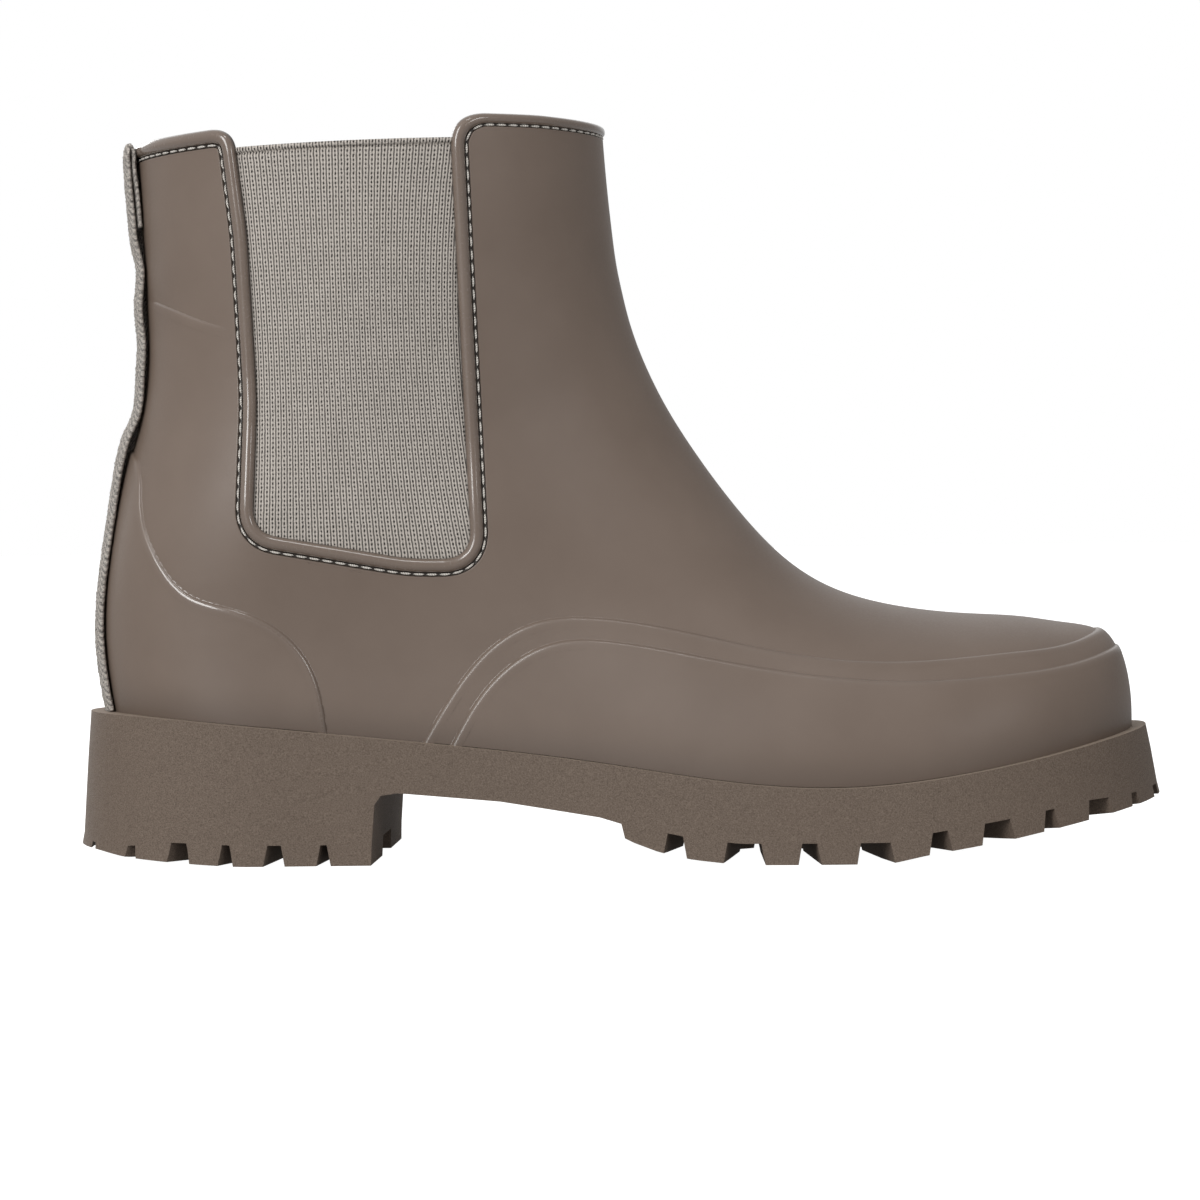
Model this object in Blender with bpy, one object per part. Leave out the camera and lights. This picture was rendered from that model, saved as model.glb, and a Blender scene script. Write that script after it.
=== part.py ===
"""Rubber ankle boot: outsole, hollow shell with stepped overlays, two gores, heel tape and insole.

Sizes are in millimetres and are turned into metres when a mesh is made.
+X points to the toe, +Z up, -Y to the outer (lateral) side of a right boot.
"""
import bmesh
import bpy
import numpy as np

MM = 0.001

# Middle of the finished boot's box, which becomes the origin
MIDDLE = (-0.5, 2.4, 0.0)

# Overall choices
WALL = 2.0
GAP = 0.3
SEAT_DEPTH = 2.5
BAND_RAISE = 0.7
MUDGUARD_RAISE = 1.4
COUNTER_RAISE = 0.8
RIM_RAISE = 0.9
RIM_WIDTH = 3.4
GORE_BELOW = 0.8
GORE_THICK = 1.5
INSOLE_EASE = 0.7
TIP_X = 133.1
TIP_ROUND = 62.0
END_POWER = 2.3
BLEND_LOW = 46.0
BLEND_HIGH = 96.0
SIDE = 90.0
LATERAL = -1.0
MEDIAL = 1.0

# Where the upper meets the top of the sole
FEATHER_COLUMNS = ("x", "z")
FEATHER = [
    (-150.0, 38.6),
    (-132.0, 38.2),
    (-100.0, 35.7),
    (-57.0, 31.3),
    (-6.0, 25.3),
    (29.0, 20.2),
    (58.0, 18.9),
    (81.0, 21.1),
    (107.0, 25.5),
    (125.0, 29.1),
    (150.0, 33.6),
]

# Back edge of the shell with the length over which each level rounds to it
BACK_COLUMNS = ("z", "x", "rounding", "power")
BACK = [
    (30.0, -131.6, 44.0, 2.3),
    (45.0, -134.2, 44.0, 2.3),
    (58.0, -135.3, 45.0, 2.3),
    (72.0, -134.5, 48.0, 2.3),
    (88.0, -132.0, 52.0, 2.2),
    (102.0, -129.0, 55.0, 2.1),
    (112.0, -126.3, 57.0, 2.0),
    (124.0, -124.1, 59.0, 2.0),
    (146.0, -123.7, 60.0, 2.0),
    (172.0, -124.8, 61.0, 2.0),
    (200.0, -126.0, 61.0, 2.0),
]

# Half-widths of the foot beside its own centre line, before the toe and heel are rounded
PLAN_COLUMNS = ("x", "lateral", "medial", "centre")
PLAN = [
    (-140.0, 31.0, 31.0, 0.0),
    (-100.0, 31.5, 31.0, 0.0),
    (-58.0, 32.0, 29.8, 0.0),
    (-20.0, 35.0, 31.0, 0.2),
    (15.0, 41.0, 36.5, 0.9),
    (45.0, 45.8, 42.5, 2.0),
    (72.0, 47.0, 45.0, 3.4),
    (100.0, 46.2, 45.4, 5.0),
    (134.0, 45.0, 45.0, 6.8),
]

# Half-widths of the ankle and shaft by height
SHAFT_COLUMNS = ("z", "lateral", "medial")
SHAFT = [
    (40.0, 34.0, 33.0),
    (80.0, 36.5, 35.5),
    (108.0, 37.0, 36.5),
    (140.0, 39.5, 39.0),
    (170.0, 42.0, 41.5),
    (200.0, 44.0, 43.5),
]

# Sections from the toe to the collar: the lower end is an x on the feather line for the foot rows
# and a height on the back edge for the shaft rows
SECTION_COLUMNS = ("name", "low", "top_x", "top_z", "rounding", "power")
FOOT_SECTIONS = [
    ("tip", 133.1, 133.1, 38.0, 6.0, 2.6),
    ("toe_front", 131.9, 131.9, 45.2, 12.0, 2.6),
    ("toe_bevel", 129.8, 129.8, 51.8, 18.0, 2.6),
    ("toe_top", 125.2, 125.2, 56.5, 24.0, 2.7),
    ("toe_box", 115.5, 115.5, 58.4, 29.0, 2.8),
    ("toe_rear", 103.5, 103.5, 60.1, 33.0, 2.7),
    ("vamp_front", 86.0, 87.0, 61.2, 37.0, 2.5),
    ("ball", 64.0, 68.5, 64.0, 41.0, 2.3),
    ("vamp_rear", 42.0, 53.0, 69.4, 46.0, 2.1),
    ("waist_front", 17.0, 40.0, 78.9, 55.0, 2.0),
    ("waist", -13.0, 28.3, 92.3, 66.0, 2.0),
    ("waist_rear", -50.0, 19.0, 105.3, 76.0, 2.0),
    ("instep", -89.0, 12.2, 116.4, 82.0, 2.0),
    ("heel_front", -116.0, 7.4, 126.2, 86.0, 2.0),
    ("heel", -129.0, 4.5, 133.6, 87.0, 2.0),
    ("heel_corner", -133.3, 2.6, 139.8, 87.0, 2.0),
]
SHAFT_SECTIONS = [
    ("counter_low", 47.0, 1.1, 146.2, 85.0, 2.0),
    ("counter_mid", 60.0, -0.4, 154.0, 82.0, 2.0),
    ("counter_top", 80.0, -1.5, 163.0, 78.0, 2.0),
    ("ankle", 102.0, -2.4, 172.0, 73.0, 2.0),
    ("shaft_low", 126.0, -3.1, 180.5, 67.0, 2.0),
    ("shaft_mid", 152.0, -3.6, 187.5, 63.0, 2.0),
    ("shaft_top", 177.0, -4.0, 193.5, 61.0, 2.0),
    ("collar", 199.0, -4.2, 199.0, 61.0, 2.0),
]
SECTION_STEPS = 2
HALF_POINTS = 11
FILLET_TURN = 0.32

# Collar and gore opening in the side view, corner by corner with its fillet
OPENING_COLUMNS = ("x", "z", "fillet")
OPENING = [
    (-175.0, 184.6, 0.0),
    (-123.5, 185.6, 60.0),
    (-97.6, 187.2, 6.5),
    (-94.4, 160.0, 90.0),
    (-92.6, 118.0, 110.0),
    (-93.8, 84.6, 7.5),
    (-54.0, 77.4, 60.0),
    (-38.2, 77.4, 8.5),
    (-40.0, 130.0, 250.0),
    (-42.0, 189.8, 9.0),
    (-20.0, 190.0, 80.0),
    (40.0, 188.0, 0.0),
    (40.0, 240.0, 0.0),
    (-175.0, 240.0, 0.0),
]
GORE_TOP_BACK = (-110.0, 181.7)
GORE_TOP_FRONT = (-30.0, 184.3)

# Upper edge of the toe band and of the mudguard below it
BAND_COLUMNS = ("x", "z")
BAND = [
    (-51.5, 30.2),
    (-43.8, 42.8),
    (-34.0, 54.4),
    (-22.0, 61.0),
    (-8.0, 62.0),
    (15.0, 58.4),
    (47.5, 51.4),
    (74.6, 49.8),
    (100.0, 51.5),
    (118.0, 53.8),
    (126.4, 56.6),
    (160.0, 66.0),
]
MUDGUARD_COLUMNS = ("x", "z")
MUDGUARD = [
    (-44.2, 29.4),
    (-37.5, 41.0),
    (-28.0, 50.8),
    (-16.0, 56.0),
    (-4.0, 56.0),
    (20.8, 51.5),
    (47.4, 46.7),
    (74.5, 44.6),
    (100.0, 46.0),
    (118.0, 48.5),
    (131.0, 52.2),
    (160.0, 60.0),
]
COUNTER_COLUMNS = ("x", "z")
COUNTER = [
    (-160.0, 109.0),
    (-129.0, 107.6),
    (-124.8, 103.0),
    (-123.4, 92.0),
    (-119.6, 79.7),
    (-110.5, 69.0),
    (-98.0, 64.9),
    (-87.3, 59.5),
    (-79.8, 50.5),
    (-77.0, 42.0),
    (-75.5, 32.0),
]

# Heel tape: height, distance of its inner and outer face from the shell, half-width
TAPE_COLUMNS = ("z", "inner", "outer", "half")
TAPE = [
    (39.1, 1.2, 2.9, 10.0),
    (60.0, 1.2, 2.9, 10.0),
    (112.0, 1.2, 2.9, 10.0),
    (130.0, 0.8, 2.6, 10.0),
    (150.0, 0.8, 2.6, 10.0),
    (163.0, 0.8, 2.9, 10.0),
    (165.0, 0.6, 3.1, 10.0),
    (176.0, 0.8, 3.7, 10.0),
    (182.0, 1.3, 3.8, 10.0),
    (186.0, 1.5, 3.0, 9.6),
]
TAPE_ROWS = 24
TAPE_POINTS = 7

# Sole: underside of the lugs, depth of the tread, width of the ledge and flare of the side
TREAD_COLUMNS = ("x", "z", "depth")
TREAD = [
    (-150.0, 4.4, 1.4),
    (-136.0, 3.2, 1.7),
    (-128.0, 1.9, 2.8),
    (-116.0, 1.0, 5.0),
    (-108.0, 0.5, 5.3),
    (-98.0, 0.0, 5.3),
    (-60.0, 0.0, 5.3),
    (-4.0, 8.6, 1.0),
    (2.0, 5.6, 5.3),
    (9.0, 3.0, 5.3),
    (17.0, 1.3, 5.3),
    (29.0, 0.0, 5.3),
    (66.0, 0.0, 5.3),
    (76.0, 2.1, 5.3),
    (97.0, 5.3, 5.2),
    (117.0, 9.0, 5.0),
    (130.0, 11.4, 3.4),
    (150.0, 15.0, 2.2),
]
LEDGE_COLUMNS = ("x", "ledge", "flare")
LEDGE = [
    (-134.0, 6.6, 2.8),
    (-110.0, 5.2, 2.4),
    (0.0, 5.0, 2.2),
    (100.0, 5.0, 2.6),
    (132.5, 5.0, 3.5),
]

# Hollow under the waist between heel breast and forefoot, where it starts beyond the lateral side
ARCH_COLUMNS = ("x", "z")
ARCH = [
    (-67.5, -12.0),
    (-66.9, 5.0),
    (-66.1, 15.4),
    (-64.5, 17.6),
    (-60.3, 18.2),
    (-34.0, 15.9),
    (-8.7, 11.9),
    (-3.3, 10.3),
    (-1.7, 4.0),
    (0.7, -12.0),
]
ARCH_MEDIAL_SHIFT = 7.0

# Side lugs by where they stand on the sole's lower outline, and how far they reach in
LUG_COLUMNS = ("start", "end", "reach", "slant")
LUGS = [
    (-137.0, -128.2, 16.0, 4.0),
    (-125.3, -116.8, 22.0, 3.0),
    (-110.9, -103.5, 26.0, 3.0),
    (-99.6, -91.9, 27.0, 3.0),
    (-86.4, -78.4, 27.0, 3.0),
    (-74.7, -50.0, 28.0, 0.0),
    (-8.0, 9.6, 34.0, 0.0),
    (15.3, 24.5, 37.0, 0.0),
    (35.0, 43.2, 38.0, -4.0),
    (49.0, 57.9, 39.0, -4.0),
    (67.3, 76.0, 39.0, -4.0),
    (81.9, 89.5, 38.0, -3.0),
    (98.0, 105.7, 33.0, -2.0),
    (109.8, 117.9, 28.0, -1.0),
    (124.8, 130.7, 20.0, 0.0),
    (133.1, 138.2, 14.0, 0.0),
]
LUG_DRAFT = 1.15
LUG_OUTSIDE = 25.0
LUG_SLOPE_STEP = 0.6
LUG_THROUGH = 6.0
CENTRE_LUG_COLUMNS = ("x", "length", "width")
CENTRE_LUGS = [
    (-147.0, 17.4, 80.0),
    (-112.0, 11.0, 11.0),
    (-95.0, 13.0, 12.0),
    (-77.0, 11.0, 12.0),
    (29.5, 9.0, 16.0),
    (47.0, 13.0, 17.0),
    (66.0, 13.0, 18.0),
    (85.0, 13.0, 18.0),
    (103.0, 12.0, 17.0),
    (118.0, 9.0, 12.0),
    (140.5, 6.0, 26.0),
]

COLOURS = {
    "outsole": (0.135, 0.105, 0.085),
    "upper": (0.175, 0.142, 0.117),
    "gore_lateral": (0.36, 0.33, 0.30),
    "gore_medial": (0.36, 0.33, 0.30),
    "heel_tape": (0.33, 0.30, 0.27),
    "insole": (0.10, 0.09, 0.08),
}


def column(table, names, name, kind=float):
    """One named column of a table as an array."""
    place = names.index(name)
    return np.array([row[place] for row in table], dtype=kind)


def natural_spline(knots, values):
    """A natural cubic spline through the knots, as a function of an array."""
    knots = np.asarray(knots, float)
    values = np.asarray(values, float)
    step = np.diff(knots)
    count = len(knots)
    matrix = np.eye(count)
    right = np.zeros(count)
    for i in range(1, count - 1):
        matrix[i, i - 1] = step[i - 1]
        matrix[i, i] = 2.0 * (step[i - 1] + step[i])
        matrix[i, i + 1] = step[i]
        rise = (values[i + 1] - values[i]) / step[i]
        fall = (values[i] - values[i - 1]) / step[i - 1]
        right[i] = 6.0 * (rise - fall)
    bend = np.linalg.solve(matrix, right)

    def evaluate(at):
        at = np.clip(np.asarray(at, float), knots[0], knots[-1])
        i = np.clip(np.searchsorted(knots, at) - 1, 0, count - 2)
        left = knots[i + 1] - at
        past = at - knots[i]
        width = step[i]
        cubic = (bend[i] * left ** 3 + bend[i + 1] * past ** 3) / (6.0 * width)
        first = (values[i] / width - bend[i] * width / 6.0) * left
        second = (values[i + 1] / width - bend[i + 1] * width / 6.0) * past
        return cubic + first + second

    return evaluate


def table_spline(table, names, by, name):
    """A spline of one column of a table over another."""
    return natural_spline(column(table, names, by), column(table, names, name))


def table_line(table, names, by, name):
    """Straight runs between the rows of a table."""
    knots = column(table, names, by)
    values = column(table, names, name)
    return lambda at: np.interp(at, knots, values)


feather_z = table_spline(FEATHER, FEATHER_COLUMNS, "x", "z")
back_x = table_spline(BACK, BACK_COLUMNS, "z", "x")
back_round = table_line(BACK, BACK_COLUMNS, "z", "rounding")
back_power = table_line(BACK, BACK_COLUMNS, "z", "power")
centre_y = table_spline(PLAN, PLAN_COLUMNS, "x", "centre")
tread_z = table_line(TREAD, TREAD_COLUMNS, "x", "z")
tread_depth = table_line(TREAD, TREAD_COLUMNS, "x", "depth")
ledge_width = table_line(LEDGE, LEDGE_COLUMNS, "x", "ledge")
ledge_flare = table_line(LEDGE, LEDGE_COLUMNS, "x", "flare")
plan_half = {
    LATERAL: table_spline(PLAN, PLAN_COLUMNS, "x", "lateral"),
    MEDIAL: table_spline(PLAN, PLAN_COLUMNS, "x", "medial"),
}
shaft_half = {
    LATERAL: table_spline(SHAFT, SHAFT_COLUMNS, "z", "lateral"),
    MEDIAL: table_spline(SHAFT, SHAFT_COLUMNS, "z", "medial"),
}


def rounded_end(distance, power):
    """Share of the full width at a distance from an end, where 1 is the whole rounding length."""
    inside = 1.0 - np.clip(distance, 0.0, 1.0)
    return np.sqrt(np.clip(1.0 - inside ** power, 0.0, 1.0))


def smooth_step(value):
    """Zero to one with level ends."""
    value = np.clip(value, 0.0, 1.0)
    return value * value * (3.0 - 2.0 * value)


def half_width(x, z, from_ridge, power, side):
    """Half-width of the shell at a side-view point: foot plan below, shaft above, ends rounded off."""
    share = smooth_step((z - BLEND_LOW) / (BLEND_HIGH - BLEND_LOW))
    base = plan_half[side](x) * (1.0 - share) + shaft_half[side](z) * share
    toe = rounded_end((TIP_X - x) / TIP_ROUND, END_POWER)
    heel = rounded_end((x - back_x(z)) / back_round(z), back_power(z))
    return base * toe * heel * rounded_end(from_ridge, power)


def heel_corner_x():
    """The x at which the feather line runs into the back edge."""
    x = column(FOOT_SECTIONS, SECTION_COLUMNS, "low")[-1]
    for _ in range(20):
        x = float(back_x(feather_z(x)))
    return x


def section_lines():
    """Lower end, top end, rounding and power of every section from toe to collar."""
    foot_low = column(FOOT_SECTIONS, SECTION_COLUMNS, "low")
    foot_low[-1] = heel_corner_x()
    corner_z = float(feather_z(foot_low[-1]))
    shaft_low = np.concatenate([[corner_z], column(SHAFT_SECTIONS, SECTION_COLUMNS, "low")])
    foot_count = len(FOOT_SECTIONS)
    everything = FOOT_SECTIONS + SHAFT_SECTIONS
    rows = np.arange(len(everything), dtype=float)
    corner_row = float(foot_count - 1)
    fine = np.linspace(0.0, rows[-1], int(rows[-1]) * SECTION_STEPS + 1)
    on_foot = fine <= corner_row
    low_x = natural_spline(rows[:foot_count], foot_low)(fine)
    low_z = natural_spline(rows[foot_count - 1:], shaft_low)(fine)
    low = np.stack([
        np.where(on_foot, low_x, back_x(low_z)),
        np.where(on_foot, feather_z(low_x), low_z),
    ], axis=-1)
    named = {}
    for name in ("top_x", "top_z", "rounding", "power"):
        named[name] = natural_spline(rows, column(everything, SECTION_COLUMNS, name))(fine)
    top = np.stack([named["top_x"], named["top_z"]], axis=-1)
    return low, top, named["rounding"], named["power"], int(on_foot.sum())


def shell_grid():
    """Rings of points, one a section, from the lateral lower end over the ridge to the medial one."""
    low, top, rounding, power, foot_count = section_lines()
    share = 0.5 - 0.5 * np.cos(np.pi * np.linspace(0.0, 1.0, HALF_POINTS))
    line = top[:, None, :] + (low - top)[:, None, :] * share[None, :, None]
    length = np.linalg.norm(low - top, axis=1)
    from_ridge = length[:, None] * share[None, :] / rounding[:, None]
    halves = []
    for side in (LATERAL, MEDIAL):
        x = line[:, :, 0]
        z = line[:, :, 1]
        width = half_width(x, z, from_ridge, power[:, None], side)
        halves.append(np.stack([x, centre_y(x) + side * width, z], axis=-1))
    grid = np.concatenate([halves[0][:, ::-1], halves[1][:, 1:]], axis=1)
    return grid, foot_count


def welded_normals(grid):
    """Outward unit normals of a grid whose coinciding points share one normal."""
    rows, points = grid.shape[:2]
    flat = grid.reshape(-1, 3)
    keys = np.round(flat * 200.0).astype(np.int64)
    unique, weld = np.unique(keys, axis=0, return_inverse=True)
    weld = weld.reshape(rows, points)
    across = grid[1:, 1:] - grid[:-1, :-1]
    along = grid[1:, :-1] - grid[:-1, 1:]
    face = np.cross(across, along)
    total = np.zeros((len(unique), 3))
    for corner in (weld[1:, 1:], weld[:-1, :-1], weld[1:, :-1], weld[:-1, 1:]):
        np.add.at(total, corner.ravel(), face.reshape(-1, 3))
    length = np.linalg.norm(total, axis=1, keepdims=True)
    normal = (total / np.maximum(length, 1e-9))[weld]
    return normal * np.sign(normal[rows // 4, points // 2, 2])


def clean_mesh(name, points, faces):
    """A mesh in metres from points in millimetres, with coinciding points merged and faces outward."""
    mesh = bpy.data.meshes.new(name)
    mesh.from_pydata(((np.asarray(points) - MIDDLE) * MM).tolist(), [], faces)
    work = bmesh.new()
    work.from_mesh(mesh)
    bmesh.ops.remove_doubles(work, verts=work.verts, dist=0.00001)
    bmesh.ops.dissolve_degenerate(work, edges=work.edges, dist=0.000005)
    bmesh.ops.recalc_face_normals(work, faces=work.faces)
    work.to_mesh(mesh)
    work.free()
    return mesh


def add_object(name, mesh):
    """Put a mesh into the scene as an object of its own."""
    thing = bpy.data.objects.new(name, mesh)
    bpy.context.scene.collection.objects.link(thing)
    return thing


def shell_solid(name, offset, drop, rise):
    """The closed form of the shell grown by an offset, with its base dropped and its top raised."""
    grid, foot_count = shell_grid()
    grid = grid + offset * welded_normals(grid)
    grid[-1, :, 2] += rise
    rows, points = grid.shape[:2]
    base = grid[:foot_count][:, [0, -1]].copy()
    base[:, :, 2] -= drop
    everything = np.concatenate([grid.reshape(-1, 3), base.reshape(-1, 3)])
    start = rows * points
    faces = []
    for s in range(rows - 1):
        for q in range(points - 1):
            a = s * points + q
            faces.append((a, a + 1, a + points + 1, a + points))
    for s in range(foot_count - 1):
        lateral = s * points
        medial = lateral + points - 1
        low_lateral = start + 2 * s
        low_medial = low_lateral + 1
        faces.append((lateral, lateral + points, low_lateral + 2, low_lateral))
        faces.append((medial, low_medial, low_medial + 2, medial + points))
        faces.append((low_lateral, low_lateral + 2, low_medial + 2, low_medial))
    top = (rows - 1) * points
    ridge = points // 2
    for q in range(ridge - 1):
        p = points - 1 - q
        faces.append((top + q, top + q + 1, top + p - 1, top + p))
    faces.append((top + ridge - 1, top + ridge, top + ridge + 1))
    return add_object(name, clean_mesh(name, everything, faces))


def prism(name, outline, near=-SIDE, far=SIDE, far_shift=0.0):
    """A side-view outline carried across the boot from near to far."""
    outline = np.asarray(outline, float)
    count = len(outline)
    points = np.zeros((2 * count, 3))
    points[:count, 0] = outline[:, 0]
    points[count:, 0] = outline[:, 0] + far_shift
    points[:count, 1] = near
    points[count:, 1] = far
    points[:count, 2] = outline[:, 1]
    points[count:, 2] = outline[:, 1]
    faces = [tuple(range(count)), tuple(range(2 * count - 1, count - 1, -1))]
    for i in range(count):
        j = (i + 1) % count
        faces.append((i, j, count + j, count + i))
    return add_object(name, clean_mesh(name, points, faces))


def combine(body, operation, tool, tool_overlaps=False):
    """Apply one exact Boolean of a tool to a body and take the tool away."""
    modifier = body.modifiers.new("cut", "BOOLEAN")
    modifier.operation = operation
    modifier.solver = "EXACT"
    modifier.object = tool
    modifier.use_self = tool_overlaps
    graph = bpy.context.evaluated_depsgraph_get()
    graph.update()
    result = bpy.data.meshes.new_from_object(body.evaluated_get(graph))
    body.modifiers.clear()
    body.data = result
    bpy.data.objects.remove(tool)


def curve(table, names, per_span=2):
    """A smooth side-view line through the rows of a table, spaced by chord length."""
    x = column(table, names, "x")
    z = column(table, names, "z")
    chord = np.concatenate([[0.0], np.cumsum(np.hypot(np.diff(x), np.diff(z)))])
    at = np.interp(np.arange((len(x) - 1) * per_span + 1) / per_span, np.arange(len(x)), chord)
    return np.stack([natural_spline(chord, x)(at), natural_spline(chord, z)(at)], axis=-1)


def filleted(table, names):
    """A closed outline with each corner replaced by a tangent arc of its own radius."""
    corners = np.stack([column(table, names, "x"), column(table, names, "z")], axis=-1)
    radii = column(table, names, "fillet")
    out = []
    for i, corner in enumerate(corners):
        if radii[i] == 0.0:
            out.append(corner)
            continue
        before = corners[i - 1] - corner
        after = corners[(i + 1) % len(corners)] - corner
        before_length = np.linalg.norm(before)
        after_length = np.linalg.norm(after)
        before = before / before_length
        after = after / after_length
        half_angle = 0.5 * np.arccos(np.clip(before @ after, -1.0, 1.0))
        reach = min(radii[i] / np.tan(half_angle), 0.47 * before_length, 0.47 * after_length)
        turn = np.pi - 2.0 * half_angle
        steps = max(1, int(np.ceil(turn / FILLET_TURN)))
        for k in range(steps + 1):
            t = k / steps
            out.append(corner + before * reach * (1.0 - t) ** 2 + after * reach * t ** 2)
    return np.array(out)


def grown(outline, distance):
    """A closed outline moved outward by a distance along its corner normals."""
    before = outline - np.roll(outline, 1, axis=0)
    after = np.roll(outline, -1, axis=0) - outline
    before = before / np.linalg.norm(before, axis=1, keepdims=True)
    after = after / np.linalg.norm(after, axis=1, keepdims=True)
    tangent = before + after
    tangent = tangent / np.linalg.norm(tangent, axis=1, keepdims=True)
    normal = np.stack([tangent[:, 1], -tangent[:, 0]], axis=-1)
    area = np.sum(outline[:, 0] * np.roll(outline[:, 1], -1) - np.roll(outline[:, 0], -1) * outline[:, 1])
    stretch = 1.0 / np.maximum(np.sum(tangent * after, axis=1, keepdims=True), 0.4)
    return outline + np.sign(area) * normal * distance * stretch


def above_ledge(start, stop):
    """Points just above the feather line between two places along the boot."""
    x = np.linspace(start, stop, 22)
    return np.stack([x, feather_z(x) + GAP], axis=-1)


def below_line(line):
    """The area under a line that starts on the feather line and leaves over the toe."""
    return np.concatenate([line[1:], above_ledge(line[-1, 0], line[0, 0])])


def overlay(name, offset, outline):
    """The part of a grown shell inside a side-view outline."""
    piece = shell_solid(name, offset, 4.0, 0.0)
    combine(piece, "INTERSECT", prism(name + "_area", outline))
    return piece


def make_upper(opening):
    """The hollow shell with its steps, opened at the collar, the gores and underneath."""
    upper = shell_solid("upper", 0.0, SEAT_DEPTH - GAP, 0.0)
    counter = curve(COUNTER, COUNTER_COLUMNS)
    counter_area = np.concatenate([counter, above_ledge(counter[-1, 0], counter[0, 0])])
    layers = [
        ("band", BAND_RAISE, below_line(curve(BAND, BAND_COLUMNS))),
        ("mudguard", MUDGUARD_RAISE, below_line(curve(MUDGUARD, MUDGUARD_COLUMNS))),
        ("counter", COUNTER_RAISE, counter_area),
        ("rim", RIM_RAISE, grown(opening, RIM_WIDTH)),
    ]
    for name, offset, outline in layers:
        combine(upper, "UNION", overlay(name, offset, outline))
    combine(upper, "DIFFERENCE", shell_solid("hollow", -WALL, 12.0, 20.0))
    combine(upper, "DIFFERENCE", prism("opening", opening))
    return upper


def make_gore(name, opening, side):
    """The slice of wall inside one cut-out, a gap away from its edge and set back from the shell."""
    gore = shell_solid(name, -GORE_BELOW, 2.0, 0.0)
    combine(gore, "DIFFERENCE", shell_solid("gore_hollow", -GORE_BELOW - GORE_THICK, 12.0, 20.0))
    area = grown(opening, -GAP)
    near, far = (-SIDE, 0.0) if side == LATERAL else (0.0, SIDE)
    combine(gore, "INTERSECT", prism("gore_area", area, near, far))
    lid = np.array([GORE_TOP_BACK, GORE_TOP_FRONT, (-30.0, 260.0), (-110.0, 260.0)])
    combine(gore, "DIFFERENCE", prism("gore_lid", lid))
    for end, reach in ((-97.0, -260.0), (-38.0, 200.0)):
        trim = np.array([(end, 0.0), (end, 260.0), (reach, 260.0), (reach, 0.0)])
        combine(gore, "DIFFERENCE", prism("gore_trim", trim))
    return gore


def make_tape():
    """The heel tape: a strip on the back edge between an inner and an outer distance from the shell."""
    z = np.linspace(TAPE[0][0], TAPE[-1][0], TAPE_ROWS)
    share = np.linspace(-1.0, 1.0, TAPE_POINTS)
    half = table_line(TAPE, TAPE_COLUMNS, "z", "half")(z)
    y = half[:, None] * share[None, :]
    height = np.repeat(z[:, None], TAPE_POINTS, axis=1)
    blend = smooth_step((height - BLEND_LOW) / (BLEND_HIGH - BLEND_LOW))
    width = plan_half[LATERAL](back_x(height)) * (1.0 - blend) + shaft_half[LATERAL](height) * blend
    bend = 1.0 - (1.0 - np.clip((y / width) ** 2, 0.0, 1.0)) ** (1.0 / back_power(height))
    surface = np.stack([back_x(height) + back_round(height) * bend, y, height], axis=-1)
    up = np.gradient(surface, axis=0)
    across = np.gradient(surface, axis=1)
    normal = np.cross(up, across)
    normal = normal / np.linalg.norm(normal, axis=-1, keepdims=True)
    normal = normal * np.sign(-normal[:, :, :1])
    sheets = []
    for face in ("inner", "outer"):
        distance = table_line(TAPE, TAPE_COLUMNS, "z", face)(z)
        sheets.append(surface + normal * distance[:, None, None])
    return closed_pair("heel_tape", sheets[0], sheets[1])


def closed_pair(name, first, second):
    """A closed solid between two grids of the same shape."""
    rows, points = first.shape[:2]
    count = rows * points
    faces = []
    for s in range(rows - 1):
        for q in range(points - 1):
            a = s * points + q
            faces.append((a, a + 1, a + points + 1, a + points))
            faces.append(tuple(count + i for i in (a, a + points, a + points + 1, a + 1)))
    for s in range(rows - 1):
        for a in (s * points, s * points + points - 1):
            faces.append((a, a + points, count + a + points, count + a))
    for q in range(points - 1):
        for a in (q, (rows - 1) * points + q):
            faces.append((a, a + 1, count + a + 1, count + a))
    everything = np.concatenate([first.reshape(-1, 3), second.reshape(-1, 3)])
    return add_object(name, clean_mesh(name, everything, faces))


def foot_outline(offset):
    """Lateral and medial points of the shell's lower edge, moved out in plan by an offset."""
    grid, foot_count = shell_grid()
    lateral = grid[:foot_count, 0, :2]
    medial = grid[:foot_count, -1, :2]
    closed = np.concatenate([lateral, medial[-2:0:-1]])
    distance = np.broadcast_to(np.asarray(offset, float), (foot_count,))
    around = np.concatenate([distance, distance[-2:0:-1]])
    moved = grown(closed, around[:, None])
    back = np.concatenate([moved[:1], moved[:foot_count - 1:-1], moved[foot_count - 1:foot_count]])
    return moved[:foot_count], back


def ladder(name, outlines, heights):
    """A closed solid through stacked plan outlines, joined across from lateral to medial."""
    count = len(outlines[0][0])
    rings = []
    for (lateral, medial), height in zip(outlines, heights):
        for side in (lateral, medial):
            rings.append(np.column_stack([side, height(side[:, 0])]))
    points = np.concatenate(rings)
    faces = []
    for level in range(len(outlines) - 1):
        for side in (0, 1):
            start = (2 * level + side) * count
            above = start + 2 * count
            for i in range(count - 1):
                faces.append((start + i, start + i + 1, above + i + 1, above + i))
    for start in (0, 2 * (len(outlines) - 1) * count):
        for i in range(count - 1):
            faces.append((start + i, start + i + 1, start + count + i + 1, start + count + i))
    return add_object(name, clean_mesh(name, points, faces))


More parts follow.
